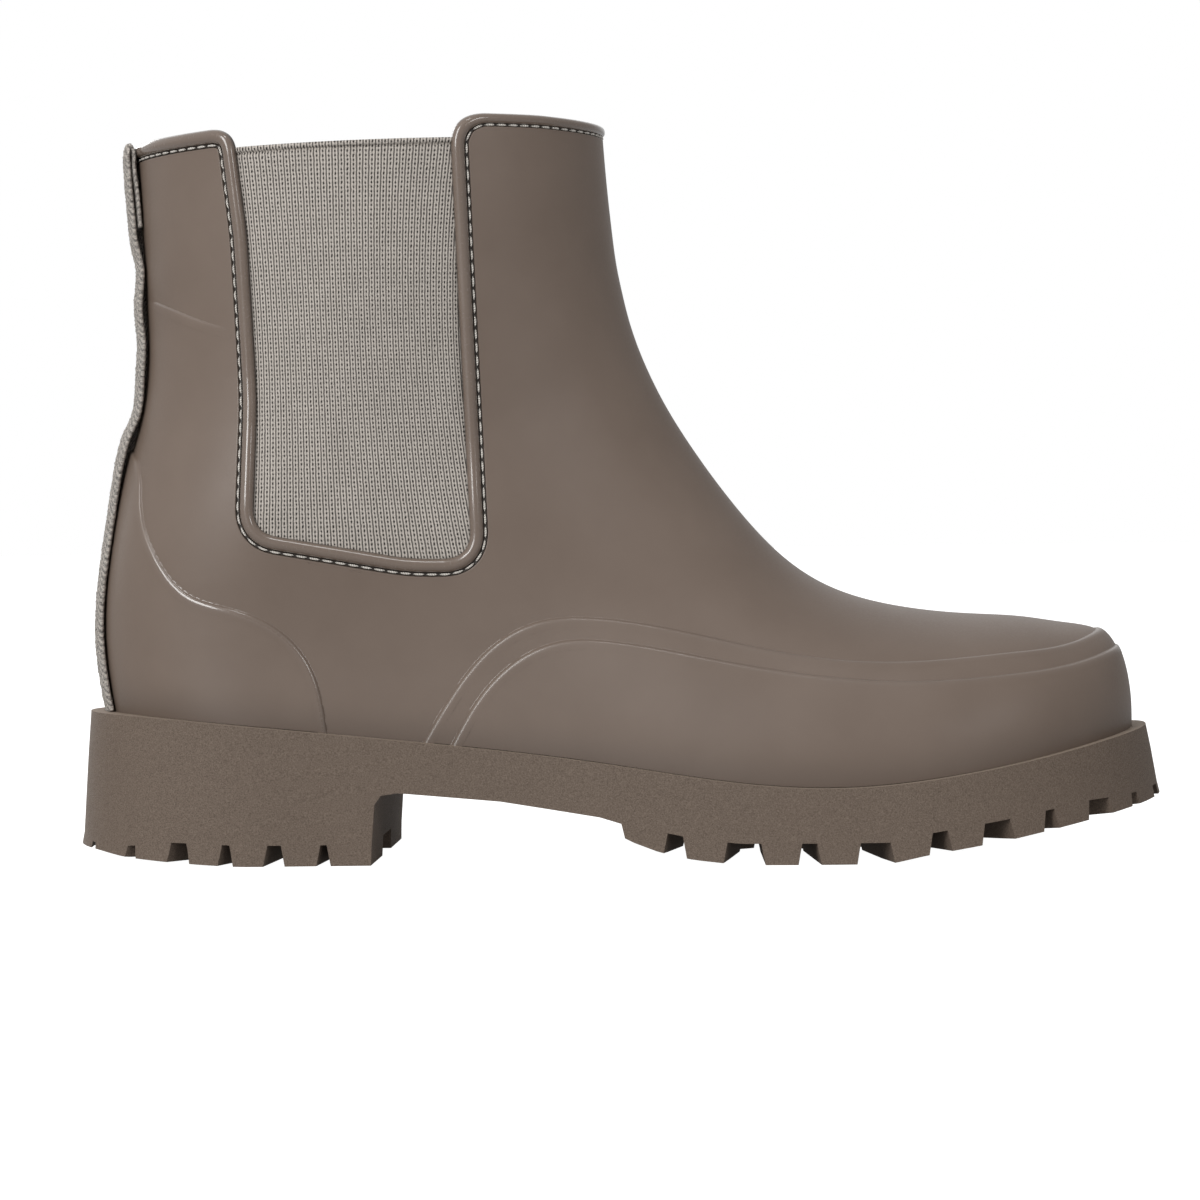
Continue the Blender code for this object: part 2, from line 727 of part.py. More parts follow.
def lug_block(corners):
    """One tapered lug through the tread: plan corners at its foot, wider where it leaves the sole."""
    corners = np.asarray(corners, float)
    underside = tread_z(corners[:, 0])
    foot = np.column_stack([grown(corners, -LUG_DRAFT), underside - LUG_THROUGH])
    root = np.column_stack([grown(corners, LUG_DRAFT), underside + LUG_THROUGH])
    count = len(corners)
    faces = [tuple(range(count)), tuple(range(2 * count - 1, count - 1, -1))]
    for i in range(count):
        j = (i + 1) % count
        faces.append((i, j, count + j, count + i))
    return np.concatenate([foot, root]), faces


def lug_wall(edge, x, reach, slant, side):
    """Outer and inner ends of lug walls that cross the outline at x, square to it but for a slant."""
    order = np.argsort(edge[:, 0])
    outline_y = lambda at: np.interp(at, edge[order, 0], edge[order, 1])
    slope = (outline_y(x + LUG_SLOPE_STEP) - outline_y(x - LUG_SLOPE_STEP)) / (2.0 * LUG_SLOPE_STEP)
    outward = side * np.stack([-slope, np.ones(len(x))], axis=-1)
    outward = outward / np.linalg.norm(outward, axis=1, keepdims=True)
    on_edge = np.stack([x, outline_y(x)], axis=-1)
    inner = on_edge - outward * reach + np.array([slant, 0.0])
    line = on_edge - inner
    line = line / np.linalg.norm(line, axis=1, keepdims=True)
    return on_edge + line * LUG_OUTSIDE, inner


def tread_lugs():
    """All lugs as one tool: both sides square to the outline, then the row down the middle."""
    grid, foot_count = shell_grid()
    along = grid[:foot_count, 0, 0]
    lateral, medial = foot_outline(ledge_width(along) + ledge_flare(along))
    blocks = []
    for side, edge in ((LATERAL, lateral), (MEDIAL, medial)):
        for start, end, reach, slant in LUGS:
            shift = ARCH_MEDIAL_SHIFT * 0.5 if side == MEDIAL and end < -40.0 else 0.0
            outer, inner = lug_wall(edge, np.array([start, end]) + shift, reach, slant, side)
            blocks.append(lug_block([outer[0], outer[1], inner[1], inner[0]]))
    for x, length, width in CENTRE_LUGS:
        middle = float(centre_y(x))
        a = 0.5 * length
        b = 0.5 * width
        corners = [(x - a, middle - 0.5 * b), (x, middle - b), (x + a, middle - 0.5 * b),
                   (x + a, middle + 0.5 * b), (x, middle + b), (x - a, middle + 0.5 * b)]
        blocks.append(lug_block(corners))
    points = []
    faces = []
    for block_points, block_faces in blocks:
        start = sum(len(p) for p in points)
        points.append(block_points)
        faces.extend(tuple(start + i for i in face) for face in block_faces)
    return add_object("lugs", clean_mesh("lugs", np.concatenate(points), faces))


def make_outsole():
    """The sole: flared wall, hollow waist, tread with lugs and a shallow seat for the upper."""
    grid, foot_count = shell_grid()
    along = grid[:foot_count, 0, 0]
    ledge = ledge_width(along)
    flare = ledge_flare(along)
    top = foot_outline(ledge)
    middle = foot_outline(ledge + 0.8 * flare)
    bottom = foot_outline(ledge + flare)
    sole = ladder("outsole", [top, middle, bottom],
                  [feather_z, lambda x: tread_z(x) + 3.0, lambda x: tread_z(x)])
    combine(sole, "DIFFERENCE", prism("arch", ARCH, far_shift=ARCH_MEDIAL_SHIFT * 2.0 * SIDE / 140.0))
    x = np.linspace(-160.0, 160.0, 161)
    ceiling = np.column_stack([x, tread_z(x) + tread_depth(x)])
    floor = np.array([(160.0, -30.0), (-160.0, -30.0)])
    tread = prism("tread", np.concatenate([ceiling, floor]))
    combine(tread, "DIFFERENCE", tread_lugs(), tool_overlaps=True)
    combine(sole, "DIFFERENCE", tread)
    seat = foot_outline(GAP)
    combine(sole, "DIFFERENCE", ladder("seat", [seat, seat],
                                       [lambda x: feather_z(x) - SEAT_DEPTH, lambda x: feather_z(x) + 9.0]))
    return sole


def make_insole():
    """The foot bed inside the shell, a gap above the seat and inside the wall."""
    plan = foot_outline(-WALL - INSOLE_EASE)
    return ladder("insole", [plan, plan],
                  [lambda x: feather_z(x) - SEAT_DEPTH + GAP, lambda x: feather_z(x) + 0.6])


def finish(thing):
    """Give an object its own material and smooth shading with sharp steps kept."""
    material = bpy.data.materials.new(thing.name)
    material.use_nodes = True
    shader = material.node_tree.nodes["Principled BSDF"]
    shader.inputs["Base Color"].default_value = (*COLOURS[thing.name], 1.0)
    shader.inputs["Roughness"].default_value = 0.5
    thing.data.materials.clear()
    thing.data.materials.append(material)
    thing.data.shade_smooth()
    thing.data.set_sharp_from_angle(angle=0.6)


def build():
    """Clear the scene and make every piece."""
    for thing in list(bpy.data.objects):
        bpy.data.objects.remove(thing)
    opening = filleted(OPENING, OPENING_COLUMNS)
    pieces = [
        make_outsole(),
        make_upper(opening),
        make_gore("gore_lateral", opening, LATERAL),
        make_gore("gore_medial", opening, MEDIAL),
        make_tape(),
        make_insole(),
    ]
    for piece in pieces:
        finish(piece)


build()
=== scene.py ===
"""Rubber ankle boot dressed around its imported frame.

The shell is one function of two numbers. The first runs along the boot, from the tip of the toe to the
collar. The second is a turn from the lateral lower edge (-1) over the ridge (0) to the medial one (1).
Every edge, rim, stitch and gore is laid on that function, so all of them follow the same surface.
Sizes are in millimetres until a mesh is made. +X points to the toe, -Y to the lateral side, +Z up.
"""

import bmesh
import bpy
import numpy as np
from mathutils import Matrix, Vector


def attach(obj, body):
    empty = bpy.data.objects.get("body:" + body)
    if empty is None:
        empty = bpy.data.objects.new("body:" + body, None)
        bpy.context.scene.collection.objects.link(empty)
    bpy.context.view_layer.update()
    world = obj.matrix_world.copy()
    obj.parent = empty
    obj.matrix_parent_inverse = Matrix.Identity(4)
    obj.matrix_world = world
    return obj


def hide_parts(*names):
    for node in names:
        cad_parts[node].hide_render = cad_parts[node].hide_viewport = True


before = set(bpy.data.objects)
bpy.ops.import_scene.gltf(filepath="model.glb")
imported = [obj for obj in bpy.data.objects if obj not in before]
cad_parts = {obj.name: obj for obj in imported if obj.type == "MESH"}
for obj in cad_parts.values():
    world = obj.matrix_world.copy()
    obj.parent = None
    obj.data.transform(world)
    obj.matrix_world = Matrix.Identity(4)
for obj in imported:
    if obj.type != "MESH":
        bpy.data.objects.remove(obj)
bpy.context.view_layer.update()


def table(names, *rows):
    """Rows of numbers as a dictionary with one array for each column name."""
    return dict(zip(names.split(), np.array(rows, dtype=float).T))


# Units, sides and the point of the tables that is the row's origin
MM = 0.001
FULL_TURN = 2.0 * np.pi
MIDDLE = np.array([-0.5, 2.4, 0.0])
LATERAL = -1.0
MEDIAL = 1.0
SIDES = {LATERAL: "lateral", MEDIAL: "medial"}

# Camera, in the same millimetres as the tables
CAMERA_AT = (-5.7, -1000.0, 91.9)
CAMERA_AIM_HEIGHT = 65.6
CAMERA_ROLL = -0.012
CAMERA_LENS = 114.07
CAMERA_SENSOR = 36.0
CAMERA_CLIP = 0.01

# Lights: place, aim and size in metres, power in watts
LIGHTS = {
    "key": ((-0.86, -1.34, 0.72), (0.0, 0.0, 0.09), (0.50, 1.10), 14.6),
    "top": ((0.05, -0.75, 1.45), (0.0, 0.0, 0.06), (0.30, 0.30), 2.0),
    "right": ((1.05, -1.38, 0.56), (0.0, 0.0, 0.09), (0.35, 0.35), 2.5),
    "back": ((-1.00, 1.45, 0.55), (0.0, 0.0, 0.09), (0.80, 0.80), 8.0),
}

# Surroundings: a base, then left, above, behind and a sheen by direction, start, full and strength
WORLD_BASE = 0.34
WORLD_PARTS = (
    ((-1.0, 0.0, 0.0), -0.30, 0.95, 0.26),
    ((0.0, 0.0, 1.0), 0.25, 0.95, 0.16),
    ((0.0, 1.0, 0.0), 0.70, 0.98, 0.25),
    ((0.0, 0.8, 0.6), 0.84, 0.99, 0.42),
)
WHITE = (1.0, 1.0, 1.0, 1.0)
FLOOR_SIZE = 6.0
FLOOR_GREY = (0.34, 0.34, 0.34, 1.0)
FLOOR_ROUGHNESS = 0.95
FLOOR_GLOW = 0.13

# Thicknesses and raises of the shell
WALL = 2.0
SEAT_DEPTH = 2.5
SEAT_GAP = 0.3
SKIRT_LIFT = 0.15
BAND_RAISE = 0.7
MUDGUARD_RAISE = 1.4
COUNTER_RAISE = 0.8
LIFT_START = 0.7
LIFT_SPAN = 1.3
TIP_X = 133.1
TIP_ROUND = 62.0
END_POWER = 2.3
BLEND_LOW = 46.0
BLEND_HIGH = 96.0
TOE_EASE = 1.0

# Where the upper meets the top of the sole
FEATHER = table(
    "x z",
    (-150, 38.6), (-132, 38.2), (-100, 35.7), (-57, 31.3), (-6, 25.3), (29, 20.2), (58, 18.9), (81, 21.1),
    (107, 25.5), (125, 29.1), (150, 33.6),
)

# Back edge of the shell with the length over which each level rounds to it
BACK = table(
    "z x rounding power",
    (30, -131.6, 44, 2.3), (45, -134.2, 44, 2.3), (58, -135.3, 45, 2.3), (72, -134.5, 48, 2.3),
    (88, -132, 52, 2.2), (102, -129, 55, 2.1), (112, -126.3, 57, 2), (124, -124.1, 59, 2),
    (146, -123.7, 60, 2), (172, -124.8, 61, 2), (200, -126, 61, 2),
)

# Half-widths of the foot beside its own centre line, before the toe and heel are rounded
PLAN = table(
    "x lateral medial centre",
    (-140, 31, 31, 0), (-100, 31.5, 31, 0), (-58, 32, 29.8, 0), (-20, 35, 31, 0.2), (15, 41, 36.5, 0.9),
    (45, 45.8, 42.5, 2), (72, 47, 45, 3.4), (100, 46.2, 45.4, 5), (134, 45, 45, 6.8),
)

# Half-widths of the ankle and shaft by height
SHAFT = table(
    "z lateral medial",
    (40, 34, 33), (80, 36.5, 35.5), (108, 37, 36.5), (140, 39.5, 39), (170, 42, 41.5), (200, 44, 43.5),
)

# Sections from toe to collar, their lower ends by x along the feather line, then by height up the back edge
FOOT_SECTIONS = table(
    "low top_x top_z rounding power",
    (133.1, 133.1, 38, 6, 2.6), (131.9, 131.9, 45.2, 12, 2.6), (129.8, 129.8, 51.8, 18, 2.6),
    (125.2, 125.2, 56.5, 24, 2.7), (115.5, 115.5, 58.4, 29, 2.8), (103.5, 103.5, 60.1, 33, 2.7),
    (86, 87, 61.2, 37, 2.5), (64, 68.5, 64, 41, 2.3), (42, 53, 69.4, 46, 2.1), (17, 40, 78.9, 55, 2),
    (-13, 28.3, 92.3, 66, 2), (-50, 19, 105.3, 76, 2), (-89, 12.2, 116.4, 82, 2),
    (-116, 7.4, 126.2, 86, 2), (-129, 4.5, 133.6, 87, 2), (-133.3, 2.6, 139.8, 87, 2),
)
SHAFT_SECTIONS = table(
    "low top_x top_z rounding power",
    (47, 1.1, 146.2, 85, 2), (60, -0.4, 154, 82, 2), (80, -1.5, 163, 78, 2), (102, -2.4, 172, 73, 2),
    (126, -3.1, 180.5, 67, 2), (152, -3.6, 187.5, 63, 2), (177, -4, 193.5, 61, 2),
    (199, -4.2, 199, 61, 2),
)
SHAFT_TURN_ROW = 12.0
SHAFT_TURN_SPAN = 3.0

# Collar and gore opening in the side view, corner by corner with its fillet
OPENING = table(
    "x z fillet",
    (-175, 184.6, 0), (-123.5, 185.6, 60), (-97.6, 187.2, 6.5), (-94.4, 160, 90), (-92.6, 118, 110),
    (-93.8, 84.6, 7.5), (-54, 77.4, 60), (-38.2, 77.4, 8.5), (-40, 130, 250), (-42, 189.8, 9),
    (-20, 190, 80), (40, 188, 0), (40, 240, 0), (-175, 240, 0),
)
FILLET_TURN = 0.06
FILLET_SHARE = 0.47
OPENING_STEP = 0.25

# Side-view lines of the overlays and of the crease above the counter
BAND = table(
    "x z",
    (-51.5, 30.2), (-43.8, 42.8), (-34, 54.4), (-22, 61), (-8, 62), (15, 58.4), (47.5, 51.4),
    (74.6, 49.8), (100, 51.5), (118, 53.8), (126.4, 56.6), (160, 66),
)
MUDGUARD = table(
    "x z",
    (-44.2, 29.4), (-37.5, 41), (-28, 50.8), (-16, 56), (-4, 56), (20.8, 51.5), (47.4, 46.7),
    (74.5, 44.6), (100, 46), (118, 48.5), (131, 52.2), (160, 60),
)
COUNTER = table(
    "x z",
    (-160, 109), (-129, 107.6), (-124.8, 103), (-123.4, 92), (-119.6, 79.7), (-110.5, 69), (-98, 64.9),
    (-87.3, 59.5), (-79.8, 50.5), (-77, 42), (-75.5, 32),
)
CREASE = table(
    "x z",
    (-122.6, 145.6), (-115.5, 142.6), (-107, 139), (-98.4, 136.2),
)
LINE_STEP = 0.4
CREASE_RAISE = 0.46
CREASE_REACH = 9.0
CREASE_FADE_IN = 0.3
CREASE_FADE_OUT = 0.35

# Cross-section of a step: distance into the panel, share of the raise, extra height, lean and gloss
STEP = table(
    "into share extra lean gloss",
    (-0.46, 0, -0.1, 0, 0), (-0.32, 0, 0.005, 2, 0.3), (-0.2, 0.02, 0, 14, 1), (-0.1, 0.08, 0, 36, 1),
    (0, 0.2, 0, 52, 1), (0.1, 0.37, 0, 54, 1), (0.2, 0.53, 0, 48, 1), (0.32, 0.68, 0, 38, 1),
    (0.48, 0.81, 0, 28, 1), (0.7, 0.92, 0.005, 16, 1), (1, 0.985, 0.015, 6, 0.9), (1.4, 1, 0.03, 1, 0.4),
    (1.9, 1, 0.03, 0, 0), (2.5, 1, 0.03, 0, 0), (2.62, 1, -0.2, 0, 0), (2.3, 1, -0.7, 180, 0),
    (-0.2, 0, -0.7, 180, 0),
)
STEP_RAISE = 0.75
BAND_POLISH = 0.3
MUDGUARD_POLISH = 0.38
CREASE_POLISH = 1.5
COUNTER_DULL = 0.35
COUNTER_DULL_HEIGHT = 88.0
COUNTER_DULL_REACH = 14.0
END_DROP = 2.0

# Cross-section of the rim from the shell over the stitch groove and the bead to the inner lip
# The shade column is painted shade: it darkens the stitch groove and the bead's wall and lip beside the gore
RIM = table(
    "into height lean shade gloss",
    (5.2, -0.3, 0, 0, 0), (5.12, 0.02, 0, 0, 0), (4.86, 0.03, 0, 0, 0), (4.66, 0.02, 14, 0, 0.3),
    (4.54, -0.12, 58, 0.5, 0), (4.42, -0.46, 56, 1, 0), (4.14, -0.62, 10, 1, 0), (3.76, -0.62, -10, 1, 0),
    (3.5, -0.42, -58, 1, 0), (3.36, -0.06, -66, 0.6, 0.5), (3.18, 0.3, -56, 0, 1), (2.9, 0.62, -44, 0, 1),
    (2.5, 0.87, -26, 0, 1), (1.98, 0.98, -8, 0, 1), (1.42, 0.98, 8, 0, 1), (0.9, 0.84, 26, 0, 1),
    (0.44, 0.54, 46, 0, 1), (0.12, 0.1, 66, 0, 1), (-0.04, -0.44, 86, 0.5, 0.5), (-0.04, -1, 94, 0.9, 0),
    (0.1, -1.56, 112, 0.6, 0), (0.42, -2, 140, 0.2, 0), (0.96, -2.22, 166, 0, 0), (1.7, -2.24, 184, 0, 0),
    (2.2, -2.1, 190, 0, 0), (2.4, -1.5, 180, 0, 0), (4.9, -0.8, 180, 0, 0),
)
RIM_FRONT_SIZE = 0.72
RIM_FRONT_X = -41.0
RIM_FRONT_X_SPAN = 9.0
RIM_FRONT_Z = 165.0
RIM_FRONT_Z_SPAN = 10.0

# Fine grids of skin and lining: start of each run along the boot with its rows to a section, then columns
SKIN_RUNS = ((0.0, 9.0), (3.0, 12.0), (8.0, 13.0), (17.0, 16.0))
SKIN_COLUMNS = 243
SKIN_TRIM = 4.8
LINING_RUNS = ((0.0, 5.0), (4.0, 7.0), (17.0, 10.0))
LINING_COLUMNS = 141
LINING_TRIM = 1.5
# Painted shade close above the sole: its largest share and the height in millimetres over which it fades
FOOT_PAINTED_SHADE = 0.27
FOOT_PAINTED_SHADE_REACH = 6.0

# Steps and rounds of the searches on the shell, and the weld's steps to a millimetre
PATH_STEP = 0.7
SLOPE_STEP = 0.002
HALVINGS = 46
CORNER_ROUNDS = 20
SETTLE_ROUNDS = 9
SETTLE_ALONG = 0.5
SETTLE_TURN = 0.1
WELD_STEPS = 2000.0
BLOCK = 3000
TINY = 1e-6

# Thread
STITCH_LINE = 3.95
STITCH_PITCH = 3.35
STITCH_HALF = 1.36
STITCH_RADIUS = 0.29
STITCH_BASE = -0.40
STITCH_ARCH = 0.34
STITCH_TAPER = 0.96
STITCH_RINGS = 7
STITCH_POINTS = 8

# Gores: limits and foot of the cut-out, top edge, depth below the shell, thickness and tucked edges
GORE_BACK_LIMIT = -110.0
GORE_MIDDLE = -67.0
GORE_FRONT_LIMIT = -30.0
GORE_FIT_LOW = 92.0
GORE_FIT_HIGH = 176.0
GORE_FOOT = table(
    "x z",
    (-95, 85.4), (-54, 77.6), (-38, 77.2),
)
GORE_FOOT_BACK = -95.5
GORE_FOOT_FRONT = -36.5
GORE_TOP_BACK = 182.1
GORE_TOP_FRONT = 183.95
GORE_ROWS = ((0.0, 0.965, 190), (0.968, 1.0, 30))
GORE_COLUMNS = 120
GORE_WIDTH = 58.0
GORE_UV_WIDTH = 61.0
GORE_BELOW = 0.85
GORE_THICK = 1.05
GORE_TUCK = 1.3
GORE_TUCK_DEPTH = 0.75
GORE_TUCK_REACH = 2.0
GORE_HIDDEN = 3.0
GORE_INNER_ROLL = 0.15
GORE_EDGE_THIN = 0.15
SELVEDGE = 1.35
SELVEDGE_RISE = 0.42
SELVEDGE_CREASE_BELOW = 0.30
SELVEDGE_CREASE_WIDTH = 0.34
SELVEDGE_CREASE_DEPTH = 0.45

# Heel tape: its middle line from the sole up, over the fold at the collar and down inside
TAPE = table(
    "z away half thick",
    (38.8, 1.95, 10, 1.7), (45, 2.1, 10, 1.7), (60, 2.2, 10, 1.7), (75, 2.05, 10, 1.7),
    (90, 2.15, 10, 1.7), (98, 2.5, 10, 1.7), (105, 2.85, 10, 1.7), (110, 2.6, 10, 1.7),
    (114.5, 1.7, 10, 1.7), (120, 1.7, 10, 1.7), (127, 2.05, 10, 1.7), (134, 1.9, 10, 1.7),
    (141, 2.4, 10, 1.7), (146, 2.2, 10, 1.7), (152, 1.45, 10, 1.7), (156, 1.75, 10, 1.7),
    (160, 2.5, 10, 1.6), (165, 2.85, 10, 1.5), (170, 2.95, 10, 1.5), (175, 3.15, 10, 1.5),
    (180, 3.15, 9.9, 1.5), (183.6, 3.05, 9.8, 1.4), (185.4, 2.42, 9.8, 1.3), (184.2, 1.72, 9.8, 1.2),
    (181, 1.66, 9.8, 1.2), (176, 1.45, 9.8, 1.3), (170, 1.2, 9.8, 1.4), (164.2, 1.05, 9.8, 1.4),
)
TAPE_RUNS = ((0, 20, 300), (20, 24, 60), (24, -1, 36))
TAPE_COLUMNS = 41
TAPE_RIPPLES = ((0.04, 0.9), (0.1, 0.17))
TAPE_SLOPE_STEP = 0.5
TAPE_EDGE_POWER = 14
TAPE_WOOL = 0.10
TAPE_INNER_WOOL = 0.5
TAPE_SEED = 7

# Sole: underside of the lugs, depth of the tread, width of the ledge and flare of the side
TREAD = table(
    "x z depth",
    (-150, 4.4, 1.4), (-136, 3.2, 1.7), (-128, 1.9, 2.8), (-116, 1, 5), (-108, 0.5, 5.3), (-98, 0, 5.3),
    (-60, 0, 5.3), (-4, 8.6, 1), (2, 5.6, 5.3), (9, 3, 5.3), (17, 1.3, 5.3), (29, 0, 5.3), (66, 0, 5.3),
    (76, 2.1, 5.3), (97, 5.3, 5.2), (117, 9, 5), (130, 11.4, 3.4), (150, 15, 2.2),
)
LEDGE = table(
    "x ledge flare",
    (-134, 6.6, 2.8), (-110, 5.2, 2.4), (0, 5, 2.2), (100, 5, 2.6), (132.5, 5, 3.5),
)
ARCH = table(
    "x z",
    (-67.5, -12), (-66.9, 5), (-66.1, 15.4), (-64.5, 17.6), (-60.3, 18.2), (-34, 15.9), (-8.7, 11.9),
    (-3.3, 10.3), (-1.7, 4), (0.7, -12),
)
ARCH_MEDIAL_SHIFT = 7.0
ARCH_SHIFT_WIDTH = 140.0
SOLE_LEVELS = table(
    "flare feather above",
    (0, 1, 0), (0.35, 0.6, 3), (0.8, 0, 3), (1, 0, 0),
)
SOLE_POINTS = 110
SOLE_FINE_POINTS = 4000
SOLE_EDGE = 0.6
SOLE_EDGE_ANGLE = 0.6
SOLE_WELD = 0.00002
SCRATCH_WELD = 0.00001
SCRATCH_SLIVER = 0.000005
SOLE_FLAT_ANGLE = 0.004
SEAT_ABOVE = 9.0
TREAD_END = 160.0
TREAD_FLOOR = -30.0
TREAD_POINTS = 161
CORNER_STRETCH = 0.4
ACROSS = 90.0

# Lugs down both sides, then those down the middle
LUGS = table(
    "start end reach slant",
    (-137, -128.2, 16, 4), (-125.3, -116.8, 22, 3), (-110.9, -103.5, 26, 3), (-99.6, -91.9, 27, 3),
    (-86.4, -78.4, 27, 3), (-74.7, -50, 28, 0), (-8, 9.6, 34, 0), (15.3, 24.5, 37, 0), (35, 43.2, 38, -4),
    (49, 57.9, 39, -4), (67.3, 76, 39, -4), (81.9, 89.5, 38, -3), (98, 105.7, 33, -2),
    (109.8, 117.9, 28, -1), (124.8, 130.7, 20, 0), (133.1, 138.2, 14, 0),
)
CENTRE_LUGS = table(
    "x length width",
    (-147, 17.4, 80), (-112, 11, 11), (-95, 13, 12), (-77, 11, 12), (29.5, 9, 16), (47, 13, 17),
    (66, 13, 18), (85, 13, 18), (103, 12, 17), (118, 9, 12), (140.5, 6, 26),
)
HEXAGON = np.array([(-1.0, -0.5), (0.0, -1.0), (1.0, -0.5), (1.0, 0.5), (0.0, 1.0), (-1.0, 0.5)])
LUG_DRAFT = 1.15
LUG_OUTSIDE = 25.0
LUG_SLOPE_STEP = 0.6
LUG_THROUGH = 6.0
LUG_SHIFT_END = -40.0

# Rubber and insole: display colours, waves a metre of grain, cloud and wave, heights of grain and wave
NOISE_LOW = 0.3
NOISE_HIGH = 0.7
GRAIN_INPUTS = ("Grain Scale", "Cloud Scale", "Wave Scale", "Grain Height", "Wave Height")
GRAIN_OUTPUTS = ("Cloud", "Grain", "Height")
CLOUD_NOISE = (3.0, 0.55)
GRAIN_NOISE = (3.0, 0.6)
WAVE_NOISE = (1.0, 0.4)
SHELL_TONES = ((112, 97, 86), (118, 103, 92))
SHELL_ROUGHNESS = 0.45
SHELL_HEIGHTS = (0.012, 0.05)
LINING_TONES = ((96, 86, 78), (106, 95, 86))
LINING_ROUGHNESS = 0.62
LINING_HEIGHTS = (0.10, 0.05)
RUBBER_SCALES = (1500.0, 38.0, 70.0)
# Painted shade: the dark colour, and the largest share of it, given to grooves, the bead's inner wall and
# the foot above the sole
PAINTED_SHADE_TONE = (40, 35, 31)
PAINTED_SHADE_SHARE = 0.9
ROUGHNESS_LESS = 0.04
ROUGHNESS_MORE = 0.05
EDGE_ROUGHNESS = 0.24
COAT_ROUGHNESS = 0.12
SOLE_TONES = ((98, 85, 74), (105, 91, 79))
SOLE_GRAIN_TONES = ((86, 73, 63), (127, 112, 99))
SOLE_GRAIN_SHARE = 0.85
SOLE_SPECKS = (0.32, 0.70, 0.0, 1.0)
# Painted light on the sole: upward faces drawn paler, by the height of their normal, towards this pale
# colour
SOLE_PAINTED_LIGHT_FACING = (0.45, 0.9, 0.0, 0.75)
SOLE_PAINTED_LIGHT_TONE = (158, 142, 127)
SOLE_SCALES = (3000.0, 60.0, 420.0)
SOLE_HEIGHTS = (0.17, 0.10)
INSOLE_TONES = ((72, 66, 60), (104, 96, 88))
INSOLE_SCALES = (1800.0, 60.0, 500.0)
INSOLE_HEIGHTS = (0.25, 0.15)

# Cloth: display colours, noises by scale, detail and roughness, ranges by their two ends before and after
GORE_TONES = ((28, 25, 23), (223, 216, 209))
GORE_TONE_RANGE = (-0.15, 1.05, 0.0, 1.0)
GORE_TINTS = ((246, 244, 241), (255, 253, 250))
GORE_TINT_NOISE = (14.0, 2.0, 0.5)
GORE_STRAY_NOISE = (60.0, 3.0, 0.6)
GORE_YARN_NOISE = (420.0, 2.0, 0.6)
GORE_RELIEF = 0.14
CORD_PAIR = 1.54
CORD_STRAY = 0.08
CORD_LEVEL = 0.84
CORD_SLUB = 0.16
CORD_GAP = (0.35, 0.95, 0.0, 1.0)
CORD_HOLES = (-0.5, 0.6, 0.42, 1.0)
CORD_LINE = (-0.45, -0.97, 0.0, CORD_LEVEL)
PICK = 1.14
PICK_STRAY = 2.6
KNOT = 0.03
TAPE_TONES = ((60, 54, 49), (234, 225, 215))
TAPE_TONE_RANGE = (0.36, 0.58, 0.0, 1.0)
TAPE_FLECK_NOISE = (150.0, 4.0, 0.75)
TAPE_FINE_NOISE = (520.0, 2.0, 0.7)
TAPE_CHEVRON = 3.4
TAPE_RIB = 1.7
TAPE_RIB_SHARE = 0.05
TAPE_FLECK_SHARE = 0.55
TAPE_RELIEF = 1.4
THREAD_TONES = ((176, 170, 162), (232, 227, 219))
THREAD_TWIST = 11.0
THREAD_RELIEF = 0.05
UV_MM = 0.01


def natural_spline(knots, values):
    """A natural cubic spline through the knots, as a function of an array."""
    step = np.diff(knots)
    count = len(knots)
    matrix = np.eye(count)
    right = np.zeros(count)
    for i in range(1, count - 1):
        matrix[i, i - 1:i + 2] = (step[i - 1], 2.0 * (step[i - 1] + step[i]), step[i])
        right[i] = 6.0 * ((values[i + 1] - values[i]) / step[i] - (values[i] - values[i - 1]) / step[i - 1])
    bend = np.linalg.solve(matrix, right)

    def evaluate(at):
        at = np.clip(np.asarray(at, float), knots[0], knots[-1])
        i = np.clip(np.searchsorted(knots, at) - 1, 0, count - 2)
        left = knots[i + 1] - at
        past = at - knots[i]
        width = step[i]
        cubic = (bend[i] * left ** 3 + bend[i + 1] * past ** 3) / (6.0 * width)
        first = (values[i] / width - bend[i] * width / 6.0) * left
        second = (values[i + 1] / width - bend[i + 1] * width / 6.0) * past
        return cubic + first + second

    return evaluate


def spline(rows, by, name):
    """A spline of one column of a table over another."""
    return natural_spline(rows[by], rows[name])


def straight(rows, by, name):
    """Straight runs of one column of a table over another."""
    return lambda at: np.interp(at, rows[by], rows[name])


feather_z = spline(FEATHER, "x", "z")
back_x = spline(BACK, "z", "x")
back_round = straight(BACK, "z", "rounding")
back_power = straight(BACK, "z", "power")
centre_y = spline(PLAN, "x", "centre")
tread_z = straight(TREAD, "x", "z")
tread_depth = straight(TREAD, "x", "depth")
ledge_width = straight(LEDGE, "x", "ledge")
ledge_flare = straight(LEDGE, "x", "flare")
plan_half = {side: spline(PLAN, "x", name) for side, name in SIDES.items()}
shaft_half = {side: spline(SHAFT, "z", name) for side, name in SIDES.items()}


def heel_corner():
    """The point at which the feather line runs into the back edge, by repeated substitution."""
    x = FOOT_SECTIONS["low"][-1]
    for _ in range(CORNER_ROUNDS):
        x = float(back_x(feather_z(x)))
    return x, float(feather_z(x))


def section_spline(name):
    """A spline over the section numbers through one column of both section tables."""
    return natural_spline(ROWS, np.append(FOOT_SECTIONS[name], SHAFT_SECTIONS[name]))


